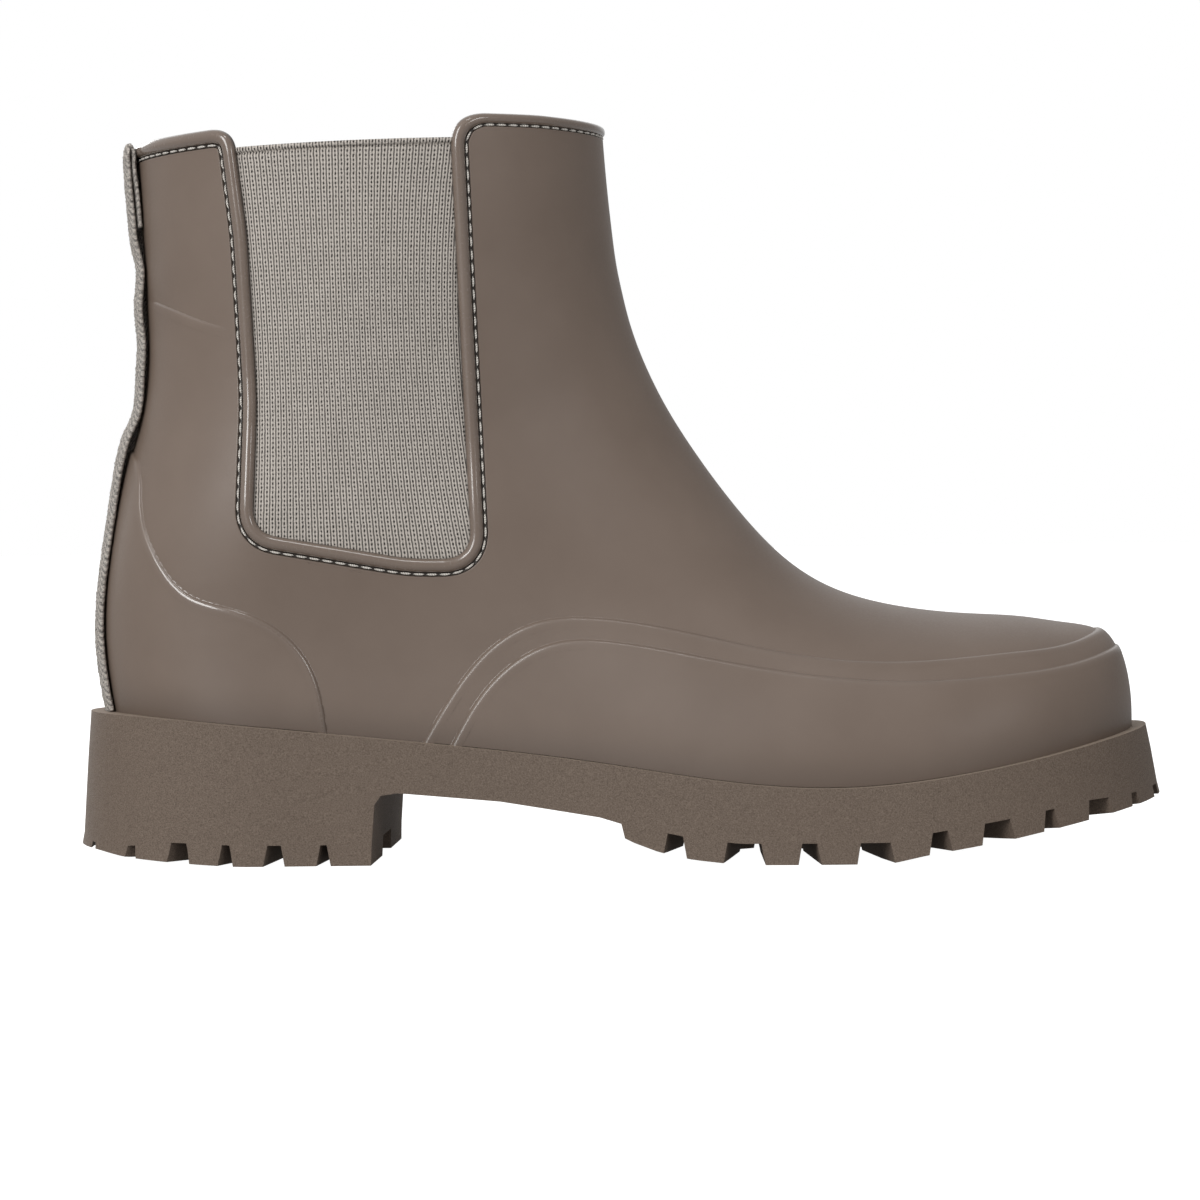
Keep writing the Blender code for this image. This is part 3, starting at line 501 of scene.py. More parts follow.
FOOT_ROWS = len(FOOT_SECTIONS["low"])
ROWS = np.arange(FOOT_ROWS + len(SHAFT_SECTIONS["low"]), dtype=float)
CORNER_ROW = ROWS[FOOT_ROWS - 1]
CORNER_ALONG = CORNER_ROW + TOE_EASE
LAST_ALONG = ROWS[-1] + TOE_EASE
corner_x, corner_z = heel_corner()
foot_low_x = natural_spline(ROWS[:FOOT_ROWS], np.append(FOOT_SECTIONS["low"][:-1], corner_x))
shaft_low_z = natural_spline(ROWS[FOOT_ROWS - 1:], np.append(corner_z, SHAFT_SECTIONS["low"]))
section_top_x = section_spline("top_x")
section_top_z = section_spline("top_z")
section_round = section_spline("rounding")
section_power = section_spline("power")


def smooth_step(value):
    """Zero to one with level ends."""
    value = np.clip(value, 0.0, 1.0)
    return value * value * (3.0 - 2.0 * value)


def rounded_end(distance, power):
    """Share of the full width at a distance from an end, where 1 is the whole rounding length."""
    inside = 1.0 - np.clip(distance, 0.0, 1.0)
    return np.sqrt(np.clip(1.0 - inside ** power, 0.0, 1.0))


def unit(vector):
    """Vectors brought to length one."""
    return vector / np.maximum(np.linalg.norm(vector, axis=-1, keepdims=True), TINY ** 2)


def dot(first, second):
    """Inner products of vectors, pair by pair."""
    return np.sum(first * second, axis=-1)


def run_length(points):
    """Distance from the start of a line to each of its points."""
    return np.concatenate([[0.0], np.cumsum(np.linalg.norm(np.diff(points, axis=0), axis=1))])


def evenly(length, step):
    """Even distances along a line, no further apart than a step."""
    return np.linspace(0.0, length[-1], int(length[-1] / step) + 2)


def along_line(points, length, at):
    """Points of a line at distances along it."""
    return np.stack([np.interp(at, length, values) for values in points.T], axis=-1)


def row_place(points):
    """Table points in millimetres as points of the row in metres."""
    return (np.asarray(points, float) - MIDDLE) * MM


def wrapped(turn):
    """Turns past the lower edge, carried on from the edge of the other side."""
    return np.where(np.abs(turn) > 1.0, turn - 2.0 * np.sign(turn), turn)


def section_row(along):
    """Section number at a place along the boot: its square near the tip, then one for one."""
    along = np.clip(along, 0.0, LAST_ALONG)
    return np.where(along < 2.0 * TOE_EASE, along ** 2 / (4.0 * TOE_EASE), along - TOE_EASE)


def section_ends(along):
    """Lower and upper end of the side-view line of the section at each place along the boot."""
    row = section_row(along)
    on_foot = row <= CORNER_ROW
    low_x = foot_low_x(row)
    low_z = shaft_low_z(row)
    x = np.where(on_foot, low_x, back_x(low_z))
    z = np.where(on_foot, feather_z(low_x), low_z)
    return x, z, section_top_x(row), section_top_z(row)


def turn_share(along, turn):
    """Share of a section's line below the ridge: the turn squared on the foot, half a cosine above."""
    on_shaft = smooth_step((section_row(along) - SHAFT_TURN_ROW) / SHAFT_TURN_SPAN)
    return (1.0 - on_shaft) * turn ** 2 + on_shaft * (0.5 - 0.5 * np.cos(np.pi * turn))


def base_half(x, z, side):
    """Half-width before any end is rounded: foot plan below, shaft above."""
    share = smooth_step((z - BLEND_LOW) / (BLEND_HIGH - BLEND_LOW))
    return plan_half[side](x) * (1.0 - share) + shaft_half[side](z) * share


def half_width(x, z, from_ridge, power, side):
    """Half-width of the shell at a side-view point, rounded off at the toe, the heel and the ridge."""
    toe = rounded_end((TIP_X - x) / TIP_ROUND, END_POWER)
    heel = rounded_end((x - back_x(z)) / back_round(z), back_power(z))
    return base_half(x, z, side) * toe * heel * rounded_end(from_ridge, power)


def shell(along, turn):
    """Point of the shell: down a section's side-view line by the turn's share, out by its half-width."""
    along, turn = np.broadcast_arrays(np.asarray(along, float), wrapped(np.asarray(turn, float)))
    low_x, low_z, top_x, top_z = section_ends(along)
    row = section_row(along)
    share = turn_share(along, turn)
    x = top_x + (low_x - top_x) * share
    z = top_z + (low_z - top_z) * share
    from_ridge = np.hypot(low_x - top_x, low_z - top_z) * share / section_round(row)
    lateral, medial = [half_width(x, z, from_ridge, section_power(row), side) for side in SIDES]
    y = centre_y(x) + np.where(turn < 0.0, -lateral, medial)
    return np.stack([x, y, z], axis=-1)


def shell_frame(along, turn):
    """Point, outward normal and the two slopes of the shell, the slopes by small differences."""
    along, turn = np.broadcast_arrays(np.asarray(along, float), wrapped(np.asarray(turn, float)))
    before = np.clip(along - SLOPE_STEP, 0.0, LAST_ALONG)
    after = np.clip(along + SLOPE_STEP, 0.0, LAST_ALONG)
    less = np.clip(turn - SLOPE_STEP, -1.0, 1.0)
    more = np.clip(turn + SLOPE_STEP, -1.0, 1.0)
    slope_along = (shell(after, turn) - shell(before, turn)) / (after - before)[..., None]
    slope_turn = (shell(along, more) - shell(along, less)) / (more - less)[..., None]
    normal = np.cross(slope_turn, slope_along)
    lost = np.linalg.norm(normal, axis=-1, keepdims=True) < TINY
    normal = np.where(lost, np.array([1.0, 0.0, 0.0]), unit(normal))
    return shell(along, turn), normal, slope_along, slope_turn


def halved(shape, bound, is_short):
    """The places between 0 and a bound at which a test stops being true, by halving the range."""
    low = np.zeros(shape)
    high = np.full(shape, bound)
    for _ in range(HALVINGS):
        middle = 0.5 * (low + high)
        short = is_short(middle)
        low = np.where(short, middle, low)
        high = np.where(short, high, middle)
    return 0.5 * (low + high)


def side_place(x, z):
    """Place along and line share of side-view points: the section whose line meets each and where on it."""
    def short_of(along):
        low_x, low_z, top_x, top_z = section_ends(along)
        return (top_x - low_x) * (z - low_z) - (top_z - low_z) * (x - low_x) > 0.0

    along = halved(np.shape(x), LAST_ALONG, short_of)
    low_x, low_z, top_x, top_z = section_ends(along)
    square = np.maximum((low_x - top_x) ** 2 + (low_z - top_z) ** 2, TINY)
    return along, ((x - top_x) * (low_x - top_x) + (z - top_z) * (low_z - top_z)) / square


def share_turn(along, share):
    """The turn, from 0 to 1, that gives a share of a section's line."""
    return halved(np.shape(share), 1.0, lambda turn: turn_share(along, turn) < share)


def chord_curve(rows):
    """A smooth side-view line through the rows of a table, evenly spaced by chord length."""
    chord = run_length(np.stack([rows["x"], rows["z"]], axis=-1))
    at = evenly(chord, LINE_STEP)
    return np.stack([natural_spline(chord, rows["x"])(at), natural_spline(chord, rows["z"])(at)], axis=-1)


def filleted(rows):
    """A closed outline with each corner replaced by a rounded one that starts a reach before it."""
    corners = np.stack([rows["x"], rows["z"]], axis=-1)
    out = []
    for i, (corner, radius) in enumerate(zip(corners, rows["fillet"])):
        if radius == 0.0:
            out.append(corner[None])
            continue
        arms = corners[[i - 1, (i + 1) % len(corners)]] - corner
        before, after = unit(arms)
        half_angle = 0.5 * np.arccos(np.clip(before @ after, -1.0, 1.0))
        shorter = np.linalg.norm(arms, axis=1).min()
        reach = min(radius / np.tan(half_angle), FILLET_SHARE * shorter)
        steps = max(2, int(np.ceil((np.pi - 2.0 * half_angle) / FILLET_TURN)))
        t = np.linspace(0.0, 1.0, steps + 1)[:, None]
        out.append(corner + before * reach * (1.0 - t) ** 2 + after * reach * t ** 2)
    return np.concatenate(out)


def on_shell(line):
    """Place along and turn of the part of a side-view line that is on the shell, spaced evenly along it."""
    along, share = side_place(line[:, 0], line[:, 1])
    place = np.stack([along, share], axis=-1)
    inside = np.flatnonzero((share > 0.0) & (share < 1.0))
    first, last = inside[0], inside[-1]

    def edge(end, outer):
        if not 0 <= outer < len(line):
            return place[:0]
        goal = float(share[outer] > 0.5)
        part = (goal - share[end]) / (share[outer] - share[end])
        return np.array([[along[end] + (along[outer] - along[end]) * part, goal]])

    kept = np.concatenate([edge(first, first - 1), place[first:last + 1], edge(last, last + 1)])
    turn = share_turn(kept[:, 0], kept[:, 1])
    length = run_length(shell(kept[:, 0], -turn))
    at = evenly(length, PATH_STEP)
    return np.interp(at, length, kept[:, 0]), np.interp(at, length, turn)


def settled(along, turn, goal):
    """Place along and turn of the shell point nearest to a goal, by repeated least-squares steps."""
    along = np.broadcast_to(along, goal.shape[:-1])
    turn = np.broadcast_to(turn, goal.shape[:-1])
    for _ in range(SETTLE_ROUNDS):
        point, _, slope_along, slope_turn = shell_frame(along, turn)
        along_along = dot(slope_along, slope_along)
        along_turn = dot(slope_along, slope_turn)
        turn_turn = dot(slope_turn, slope_turn)
        by_along = dot(slope_along, goal - point)
        by_turn = dot(slope_turn, goal - point)
        spread = np.maximum(along_along * turn_turn - along_turn ** 2, TINY)
        step_along = (by_along * turn_turn - by_turn * along_turn) / spread
        step_turn = (by_turn * along_along - by_along * along_turn) / spread
        along = np.clip(along + np.clip(step_along, -SETTLE_ALONG, SETTLE_ALONG), 0.0, LAST_ALONG)
        turn = turn + np.clip(step_turn, -SETTLE_TURN, SETTLE_TURN)
        turn = np.where(along < CORNER_ALONG, np.clip(turn, -1.0, 1.0), wrapped(turn))
    return along, turn


class Trail:
    """A path on the shell with its points, its sideways directions and its length so far."""

    def __init__(self, along, turn, toward, closed=False):
        self.along = along
        self.turn = turn
        self.closed = closed
        self.point, normal, _, _ = shell_frame(along, turn)
        ahead = np.gradient(self.point, axis=0)
        if closed:
            ahead = np.roll(self.point, -1, axis=0) - np.roll(self.point, 1, axis=0)
        self.aside = toward * unit(np.cross(normal, unit(ahead)))
        self.length = run_length(self.point)

    def beside(self, into):
        """Place along and turn at distances to the side of the path, one column for each distance."""
        into = np.broadcast_to(np.asarray(into, float), (len(self.along), np.shape(into)[-1]))
        goal = self.point[:, None, :] + self.aside[:, None, :] * into[:, :, None]
        return settled(self.along[:, None], self.turn[:, None], goal)


def round_trail(line, toward, closed=False, limit=1.0):
    """The path of a side-view line along the lateral side and back along the medial one, within a turn."""
    along, turn = on_shell(line)
    turn = np.minimum(turn, limit)
    back = slice(-2, 0, -1) if closed else slice(-2, None, -1)
    return Trail(np.concatenate([along, along[back]]), np.concatenate([-turn, turn[back]]), toward, closed)


def quads_of(number):
    """Corner numbers of the quads between the points of a grid of numbers."""
    corners = [number[:-1, :-1], number[:-1, 1:], number[1:, 1:], number[1:, :-1]]
    return np.stack(corners, axis=-1).reshape(-1, 4)


def grid_quads(rows, columns, wrap_rows=False, wrap_columns=False):
    """Corner numbers of the quads of a grid, joined round where asked."""
    number = np.arange(rows * columns).reshape(rows, columns)
    if wrap_rows:
        number = np.concatenate([number, number[:1]])
    if wrap_columns:
        number = np.concatenate([number, number[:, :1]], axis=1)
    return quads_of(number)


def welded(points, quads, extras):
    """Coinciding points made one with averaged extra values, quads short of a corner made triangles."""
    keys = np.round(points * WELD_STEPS).astype(np.int64)
    kept, first, number = np.unique(keys, axis=0, return_index=True, return_inverse=True)
    number = number.reshape(-1)
    share = np.bincount(number, minlength=len(kept)).astype(float)
    merged = []
    for extra in extras:
        sums = [np.bincount(number, weights=values, minlength=len(kept)) for values in extra.T]
        merged.append(np.stack(sums, axis=-1) / share[:, None])
    quads = number[quads]
    same = quads == np.roll(quads, -1, axis=1)
    lost = same.sum(axis=1)
    crossed = (quads[:, 0] == quads[:, 2]) | (quads[:, 1] == quads[:, 3])
    whole = quads[(lost == 0) & ~crossed]
    bent = (lost == 1) & ~crossed
    order = (np.argmax(same[bent], axis=1)[:, None] + np.array([1, 2, 3])) % 4
    return points[first], whole, np.take_along_axis(quads[bent], order, axis=1), merged


def add_piece(name, points, quads, normals=None, uv=None, caps=()):
    """A mesh object at the origin from points in millimetres, its faces turned to its normals.

    Coinciding points are welded unless the piece has caps.
    """
    used = np.unique(quads)
    fresh = np.full(len(points), -1)
    fresh[used] = np.arange(len(used))
    caps = [fresh[list(cap)] for cap in caps]
    points = points[used]
    whole = fresh[quads]
    three = whole[:0, :3]
    extras = [extra[used] for extra in (normals, uv) if extra is not None]
    if not caps:
        points, whole, three, extras = welded(points, whole, extras)
    if normals is not None:
        aim = unit(extras[0])
        corner = points[whole]
        cross = np.cross(corner[:, 2] - corner[:, 0], corner[:, 3] - corner[:, 1])
        if np.sum(cross * aim[whole[:, 0]]) < 0.0:
            whole = whole[:, ::-1]
            three = three[:, ::-1]
            caps = [cap[::-1] for cap in caps]
    mesh = bpy.data.meshes.new(name)
    faces = whole.tolist() + three.tolist() + [cap.tolist() for cap in caps]
    mesh.from_pydata(row_place(points).tolist(), [], faces, shade_flat=False)
    if normals is not None:
        mesh.normals_split_custom_set_from_vertices(aim.tolist())
    if uv is not None:
        corner = np.zeros(len(mesh.loops), dtype=np.int32)
        mesh.loops.foreach_get("vertex_index", corner)
        layer = mesh.uv_layers.new(name="surface")
        layer.data.foreach_set("uv", extras[-1][corner].astype(np.float32).ravel())
    return linked(name, mesh)


def linked(name, data):
    """An object of the scene with some data."""
    thing = bpy.data.objects.new(name, data)
    bpy.context.scene.collection.objects.link(thing)
    return thing


def nearest(points, path):
    """Distance to and number of the nearest point of a path, worked through in blocks of points."""
    distance = np.zeros(len(points))
    number = np.zeros(len(points), dtype=int)
    for start in range(0, len(points), BLOCK):
        some = points[start:start + BLOCK]
        square = np.sum(some ** 2, axis=1)[:, None] + np.sum(path ** 2, axis=1) - 2.0 * some @ path.T
        best = np.argmin(square, axis=1)
        number[start:start + BLOCK] = best
        distance[start:start + BLOCK] = np.sqrt(np.maximum(square[np.arange(len(some)), best], 0.0))
    return distance, number


def signed(points, trail, inside):
    """Distance to a path, positive on its inner side, and the number of its nearest point."""
    distance, number = nearest(points, trail.point)
    return np.where(inside, distance, -distance), number


def inside_outline(outline, x, z):
    """True where a side-view point is inside a closed outline, by counting the edges to its right."""
    crossings = np.zeros(x.shape, dtype=int)
    for (x0, z0), (x1, z1) in zip(outline, np.roll(outline, -1, axis=0)):
        if z0 == z1:
            continue
        spans = (z0 > z) != (z1 > z)
        crossings += spans & (x < x0 + (z - z0) * (x1 - x0) / (z1 - z0))
    return crossings % 2 == 1


def rim_sizes(trail):
    """Size of the rim along the opening: smaller on the front of the collar than beside the gores."""
    front = smooth_step((trail.point[:, 0] - RIM_FRONT_X) / RIM_FRONT_X_SPAN)
    front = front * smooth_step((trail.point[:, 2] - RIM_FRONT_Z) / RIM_FRONT_Z_SPAN)
    return (1.0 - (1.0 - RIM_FRONT_SIZE) * front)[:, None]


opening_outline = filleted(OPENING)
opening_length = run_length(opening_outline[:-2])
opening_line = along_line(opening_outline[:-2], opening_length, evenly(opening_length, OPENING_STEP))
rim_trail = round_trail(opening_line, -1.0, closed=True)
rim_size = rim_sizes(rim_trail)
band_line = chord_curve(BAND)
band_trail = round_trail(band_line, -1.0)
mudguard_line = chord_curve(MUDGUARD)
mudguard_trail = round_trail(mudguard_line, -1.0)
counter_line = chord_curve(COUNTER)
counter_trail = round_trail(counter_line[::-1], 1.0, limit=1.0 - TINY)
crease_line = chord_curve(CREASE)
crease_along, crease_turn = on_shell(crease_line)
crease_trails = {
    LATERAL: Trail(crease_along, -crease_turn, -1.0),
    MEDIAL: Trail(crease_along[::-1], crease_turn[::-1], -1.0),
}


def panel_lift(points):
    """How far the overlays raise the shell: each rises from nothing to its height just inside its edge."""
    x = points[:, 0]
    z = points[:, 2]

    def inner(line, trail, inside):
        into, number = signed(points, trail, inside & (z < np.interp(x, line[:, 0], line[:, 1])))
        return smooth_step((into - LIFT_START) / LIFT_SPAN), into, number

    lift = BAND_RAISE * inner(band_line, band_trail, x > band_line[0, 0])[0]
    lift += (MUDGUARD_RAISE - BAND_RAISE) * inner(mudguard_line, mudguard_trail, x > mudguard_line[0, 0])[0]
    lift += COUNTER_RAISE * inner(counter_line, counter_trail, x < counter_line[-1, 0])[0]
    beside = (x > CREASE["x"][0]) & (x < CREASE["x"][-1])
    for trail in crease_trails.values():
        rise, into, number = inner(crease_line, trail, beside)
        left = np.exp(-np.maximum(into, 0.0) / CREASE_REACH)
        lift += CREASE_RAISE * crease_fade(trail)[number] * rise * left
    return lift


def crease_fade(trail):
    """Height of the crease along its path, fading out at both ends."""
    share = trail.length / trail.length[-1]
    return smooth_step(share / CREASE_FADE_IN) * smooth_step((1.0 - share) / CREASE_FADE_OUT)


def crease_polish(trail):
    """Polish of a crease: a thin line on its steepest part that fades out at both ends."""
    facing_out = STEP["lean"] < 90.0
    steep = np.where(facing_out, STEP["lean"], 0.0) / STEP["lean"][facing_out].max()
    return CREASE_POLISH * steep ** 3 * crease_fade(trail)[:, None]


def counter_polish(trail):
    """Polish along the counter's edge: full on its low bow, weaker where it climbs to the tape."""
    low = smooth_step((COUNTER_DULL_HEIGHT - trail.point[:, 2]) / COUNTER_DULL_REACH)
    return (COUNTER_DULL + (1.0 - COUNTER_DULL) * low)[:, None]


def painted_foot_shade(points):
    """Painted shade close above the sole: how much darker the rubber is drawn, most at the sole's top line,
    gone a finger up.
    """
    above = np.maximum(points[..., 2] - feather_z(points[..., 0]), 0.0)
    return FOOT_PAINTED_SHADE * np.exp(-(above / FOOT_PAINTED_SHADE_REACH) ** 2)


def row_places(runs):
    """Places along the boot from tip to collar, with its own number of rows to a section on each run."""
    stops = [start for start, _ in runs[1:]] + [LAST_ALONG]
    parts = [np.arange(start, stop, 1.0 / density) for (start, density), stop in zip(runs, stops)]
    return np.concatenate(parts + [[LAST_ALONG]])


def trimmed_grid(places, columns, trim):
    """Points and normals of a grid of the shell, drawn out to the rim line, and the quads that are left."""
    along = np.repeat(places, columns)
    turn = np.tile(np.linspace(-1.0, 1.0, columns), len(places))
    points = shell(along, turn)
    inside = inside_outline(opening_outline, points[:, 0], points[:, 2])
    into, number = signed(points, rim_trail, ~inside)
    edge_along, edge_turn = rim_trail.beside(rim_size * trim)
    drawn = into < trim * rim_size[number, 0]
    along = np.where(drawn, edge_along[number, 0], along)
    turn = np.where(drawn, edge_turn[number, 0], turn)
    quads = grid_quads(len(places), columns)
    base, normal, _, _ = shell_frame(along, turn)
    return base, normal, quads[~drawn[quads].all(axis=1)]


def shell_skin():
    """Outer face of the shell: the shell function lifted by its overlays, run down into the sole's seat."""
    places = row_places(SKIN_RUNS)
    base, normal, quads = trimmed_grid(places, SKIN_COLUMNS, SKIN_TRIM)
    points = base + normal * panel_lift(base)[:, None]
    foot = np.arange(np.sum(places <= CORNER_ALONG))
    every_point = [points]
    every_normal = [normal]
    every_quad = [quads]
    start = len(points)
    for edge in (0, SKIN_COLUMNS - 1):
        number = foot * SKIN_COLUMNS + edge
        points[number, 2] += SKIRT_LIFT
        every_point += [base[number] + (0.0, 0.0, rise) for rise in (SKIRT_LIFT, SEAT_GAP - SEAT_DEPTH)]
        every_normal += [normal[number], normal[number]]
        skirt = quads_of(np.stack([number, start + foot, start + len(foot) + foot], axis=1))
        every_quad.append(skirt[:, ::-1] if edge == 0 else skirt)
        start += 2 * len(foot)
    points = np.concatenate(every_point)
    # The UV map's second direction carries the painted shade above the sole
    uv = np.stack([np.zeros(len(points)), painted_foot_shade(points)], axis=1)
    return add_piece("shell_skin", points, np.concatenate(every_quad), np.concatenate(every_normal), uv)


def shell_inside():
    """Inner face of the shell: the shell function moved in by the wall, seen from within."""
    base, normal, quads = trimmed_grid(row_places(LINING_RUNS), LINING_COLUMNS, LINING_TRIM)
    return add_piece("shell_inside", base - WALL * normal, quads, -normal)


def carried(name, trail, into, height, lean, gloss, shade=0.0, drop_ends=0.0):
    """A closed profile carried along a path on the shell: each point out to the side, then up from it.

    Its gloss and its painted shade, for grooves and above the sole, go into the two directions of the UV
    map.
    """
    along, turn = trail.beside(into)
    base, normal, _, _ = shell_frame(along, turn)
    points = base + normal * np.broadcast_to(height, along.shape)[..., None]
    angle = np.radians(np.broadcast_to(lean, along.shape))[..., None]
    facing = unit(normal * np.cos(angle) - trail.aside[:, None, :] * np.sin(angle))
    gloss = np.broadcast_to(gloss, along.shape)
    if drop_ends:
        drop = np.array([0.0, 0.0, drop_ends])
        points = np.concatenate([points[:1] - drop, points, points[-1:] - drop])
        facing = np.concatenate([facing[:1], facing, facing[-1:]])
        gloss = np.concatenate([gloss[:1], gloss, gloss[-1:]])
    rows, columns = points.shape[:2]
    quads = grid_quads(rows, columns, wrap_rows=trail.closed, wrap_columns=True)
    number = np.arange(rows * columns).reshape(rows, columns)
    caps = () if trail.closed else (number[0], number[-1, ::-1])
    uv = np.stack([gloss, np.maximum(shade, painted_foot_shade(points))], axis=-1)
    return add_piece(name, points.reshape(-1, 3), quads, facing.reshape(-1, 3), uv.reshape(-1, 2), caps)


def step_edge(name, trail, base, top, polish, fade=1.0, drop_ends=END_DROP):
    """The rounded edge of an overlay: from the level around it up to its own within about a millimetre."""
    strength = np.broadcast_to(fade, len(trail.length))[:, None]
    slope = np.tan(np.radians(STEP["lean"])) * strength * (top - base) / STEP_RAISE
    lean = np.where(STEP["lean"] < 90.0, np.degrees(np.arctan(slope)), STEP["lean"])
    height = base + (top - base) * STEP["share"] * strength + STEP["extra"]
    return carried(name, trail, STEP["into"], height, lean, STEP["gloss"] * polish, drop_ends=drop_ends)


def rim_bead():
    """The rolled rim round the collar and the gores, with the groove that the stitches lie in, and painted
    shade in that groove and on the bead's wall beside the gore.
    """
    into = RIM["into"] * rim_size
    height = RIM["height"] * rim_size
    return carried("rim", rim_trail, into, height, RIM["lean"], RIM["gloss"], RIM["shade"])


def rim_stitches():
    """Thread in the groove: one short tapered run after another, each of rings round an arched line."""
    along, turn = rim_trail.beside(rim_size * STITCH_LINE)
    base, normal, _, _ = shell_frame(along[:, 0], turn[:, 0])
    length = run_length(np.concatenate([base, base[:1]]))
    count = int(length[-1] / STITCH_PITCH)
    part = np.linspace(-1.0, 1.0, STITCH_RINGS)
    at = ((np.arange(count) + 0.5) * length[-1] / count)[:, None] + STITCH_HALF * part

    def on_ring(values):
        return along_line(np.concatenate([values, values[:1]]), length, at)

    up = unit(on_ring(normal))[:, :, None, :]
    side = unit(on_ring(rim_trail.aside))[:, :, None, :]
    rise = STITCH_BASE + STITCH_ARCH * (1.0 - part ** 2)
    radius = STITCH_RADIUS * np.sqrt(np.clip(1.0 - STITCH_TAPER * np.abs(part) ** 3, 0.0, 1.0))
    angle = np.linspace(0.0, FULL_TURN, STITCH_POINTS, endpoint=False)
    out = up * np.sin(angle)[:, None] + side * np.cos(angle)[:, None]
    points = on_ring(base)[:, :, None, :] + up * rise[:, None, None] + out * radius[:, None, None]
    single = grid_quads(STITCH_RINGS, STITCH_POINTS, wrap_columns=True)
    quads = (single + np.arange(count)[:, None, None] * STITCH_RINGS * STITCH_POINTS).reshape(-1, 4)
    uv = np.stack(np.broadcast_arrays(at[:, :, None], angle), axis=-1) * UV_MM
    return add_piece("stitches", points.reshape(-1, 3), quads, out.reshape(-1, 3), uv.reshape(-1, 2))


def two_faced(name, first, second, uv):
    """A closed sheet between two grids of points, walled round its border, with its faces outward."""
    rows, columns = first.shape[:2]
    count = rows * columns
    number = np.arange(count).reshape(rows, columns)
    face = quads_of(number)
    border = np.concatenate([number[0, :-1], number[:-1, -1], number[-1, :0:-1], number[:0:-1, 0]])
    after = np.roll(border, -1)
    wall = np.stack([after, border, border + count, after + count], axis=-1)
    points = np.concatenate([first.reshape(-1, 3), second.reshape(-1, 3)])
    quads = np.concatenate([face, face[:, ::-1] + count, wall])
    piece = add_piece(name, points, quads, uv=np.tile(uv.reshape(-1, 2), (2, 1)))
    rework(piece.data, outward)
    return piece


def rework(mesh, *steps):
    """Put a mesh through some steps."""
    work = bmesh.new()
    work.from_mesh(mesh)
    for step in steps:
        step(work)
    work.to_mesh(mesh)
    work.free()


def outward(work):
    """The step that turns all faces outward."""
    bmesh.ops.recalc_face_normals(work, faces=work.faces)


def merge(distance):
    """The step that makes one point of all within a distance in metres."""
    return lambda work: bmesh.ops.remove_doubles(work, verts=work.verts, dist=distance)


def drop_slivers(work):
    """The step that takes out edges and faces without extent."""
    bmesh.ops.dissolve_degenerate(work, edges=work.edges, dist=SCRATCH_SLIVER)


def flatten(work):
    """The step that joins faces lying in one plane."""
    bmesh.ops.dissolve_limit(work, angle_limit=SOLE_FLAT_ANGLE, verts=work.verts, edges=work.edges)


def opening_edge(z, low_x, high_x):
    """x of the gore cut-out's upright edge between two limits: a parabola through the opening outline."""
    x, height = opening_outline.T
    near = (x > low_x) & (x < high_x) & (height > GORE_FIT_LOW) & (height < GORE_FIT_HIGH)
    return np.polyval(np.polyfit(height[near], x[near], 2), z)


def gore(name, side):
    """One elastic gore: a grid between its cut-out's edges, laid below the shell, with a rolled top edge."""
    level = np.concatenate([np.linspace(*run) for run in GORE_ROWS])[:, None]
    across = np.linspace(0.0, 1.0, GORE_COLUMNS)
    foot_x = np.linspace(GORE_FOOT_BACK, GORE_FOOT_FRONT, GORE_COLUMNS)
    low_z = straight(GORE_FOOT, "x", "z")(foot_x) - GORE_TUCK
    top_z = GORE_TOP_BACK + (GORE_TOP_FRONT - GORE_TOP_BACK) * across
    z = low_z + (top_z - low_z) * level
    back = opening_edge(z, GORE_BACK_LIMIT, GORE_MIDDLE) - GORE_TUCK
    front = opening_edge(z, GORE_MIDDLE, GORE_FRONT_LIMIT) + GORE_TUCK
    along, share = side_place(back + (front - back) * across, z)
    base, normal, _, _ = shell_frame(along, side * share_turn(along, share))
    from_top = top_z - z
    roll = np.sqrt(np.clip(1.0 - (2.0 * from_top / SELVEDGE - 1.0) ** 2, 0.0, 1.0))
    crease = np.exp(-((from_top - SELVEDGE - SELVEDGE_CREASE_BELOW) / SELVEDGE_CREASE_WIDTH) ** 2)
    edge = np.minimum(across, 1.0 - across) * GORE_WIDTH
    tuck = np.exp(-(edge / GORE_TUCK_REACH) ** 2)
    hidden = np.exp(-(edge / GORE_HIDDEN) ** 2)
    height = SELVEDGE_RISE * roll - SELVEDGE_CREASE_DEPTH * crease - GORE_BELOW - GORE_TUCK_DEPTH * tuck
    depth = GORE_BELOW + GORE_THICK + GORE_INNER_ROLL * roll * (1.0 - hidden) - GORE_EDGE_THIN * hidden
    uv = np.stack(np.broadcast_arrays(across * GORE_UV_WIDTH, z), axis=-1) * UV_MM
    return two_faced(name, base + normal * height[..., None], base - normal * depth[..., None], uv)


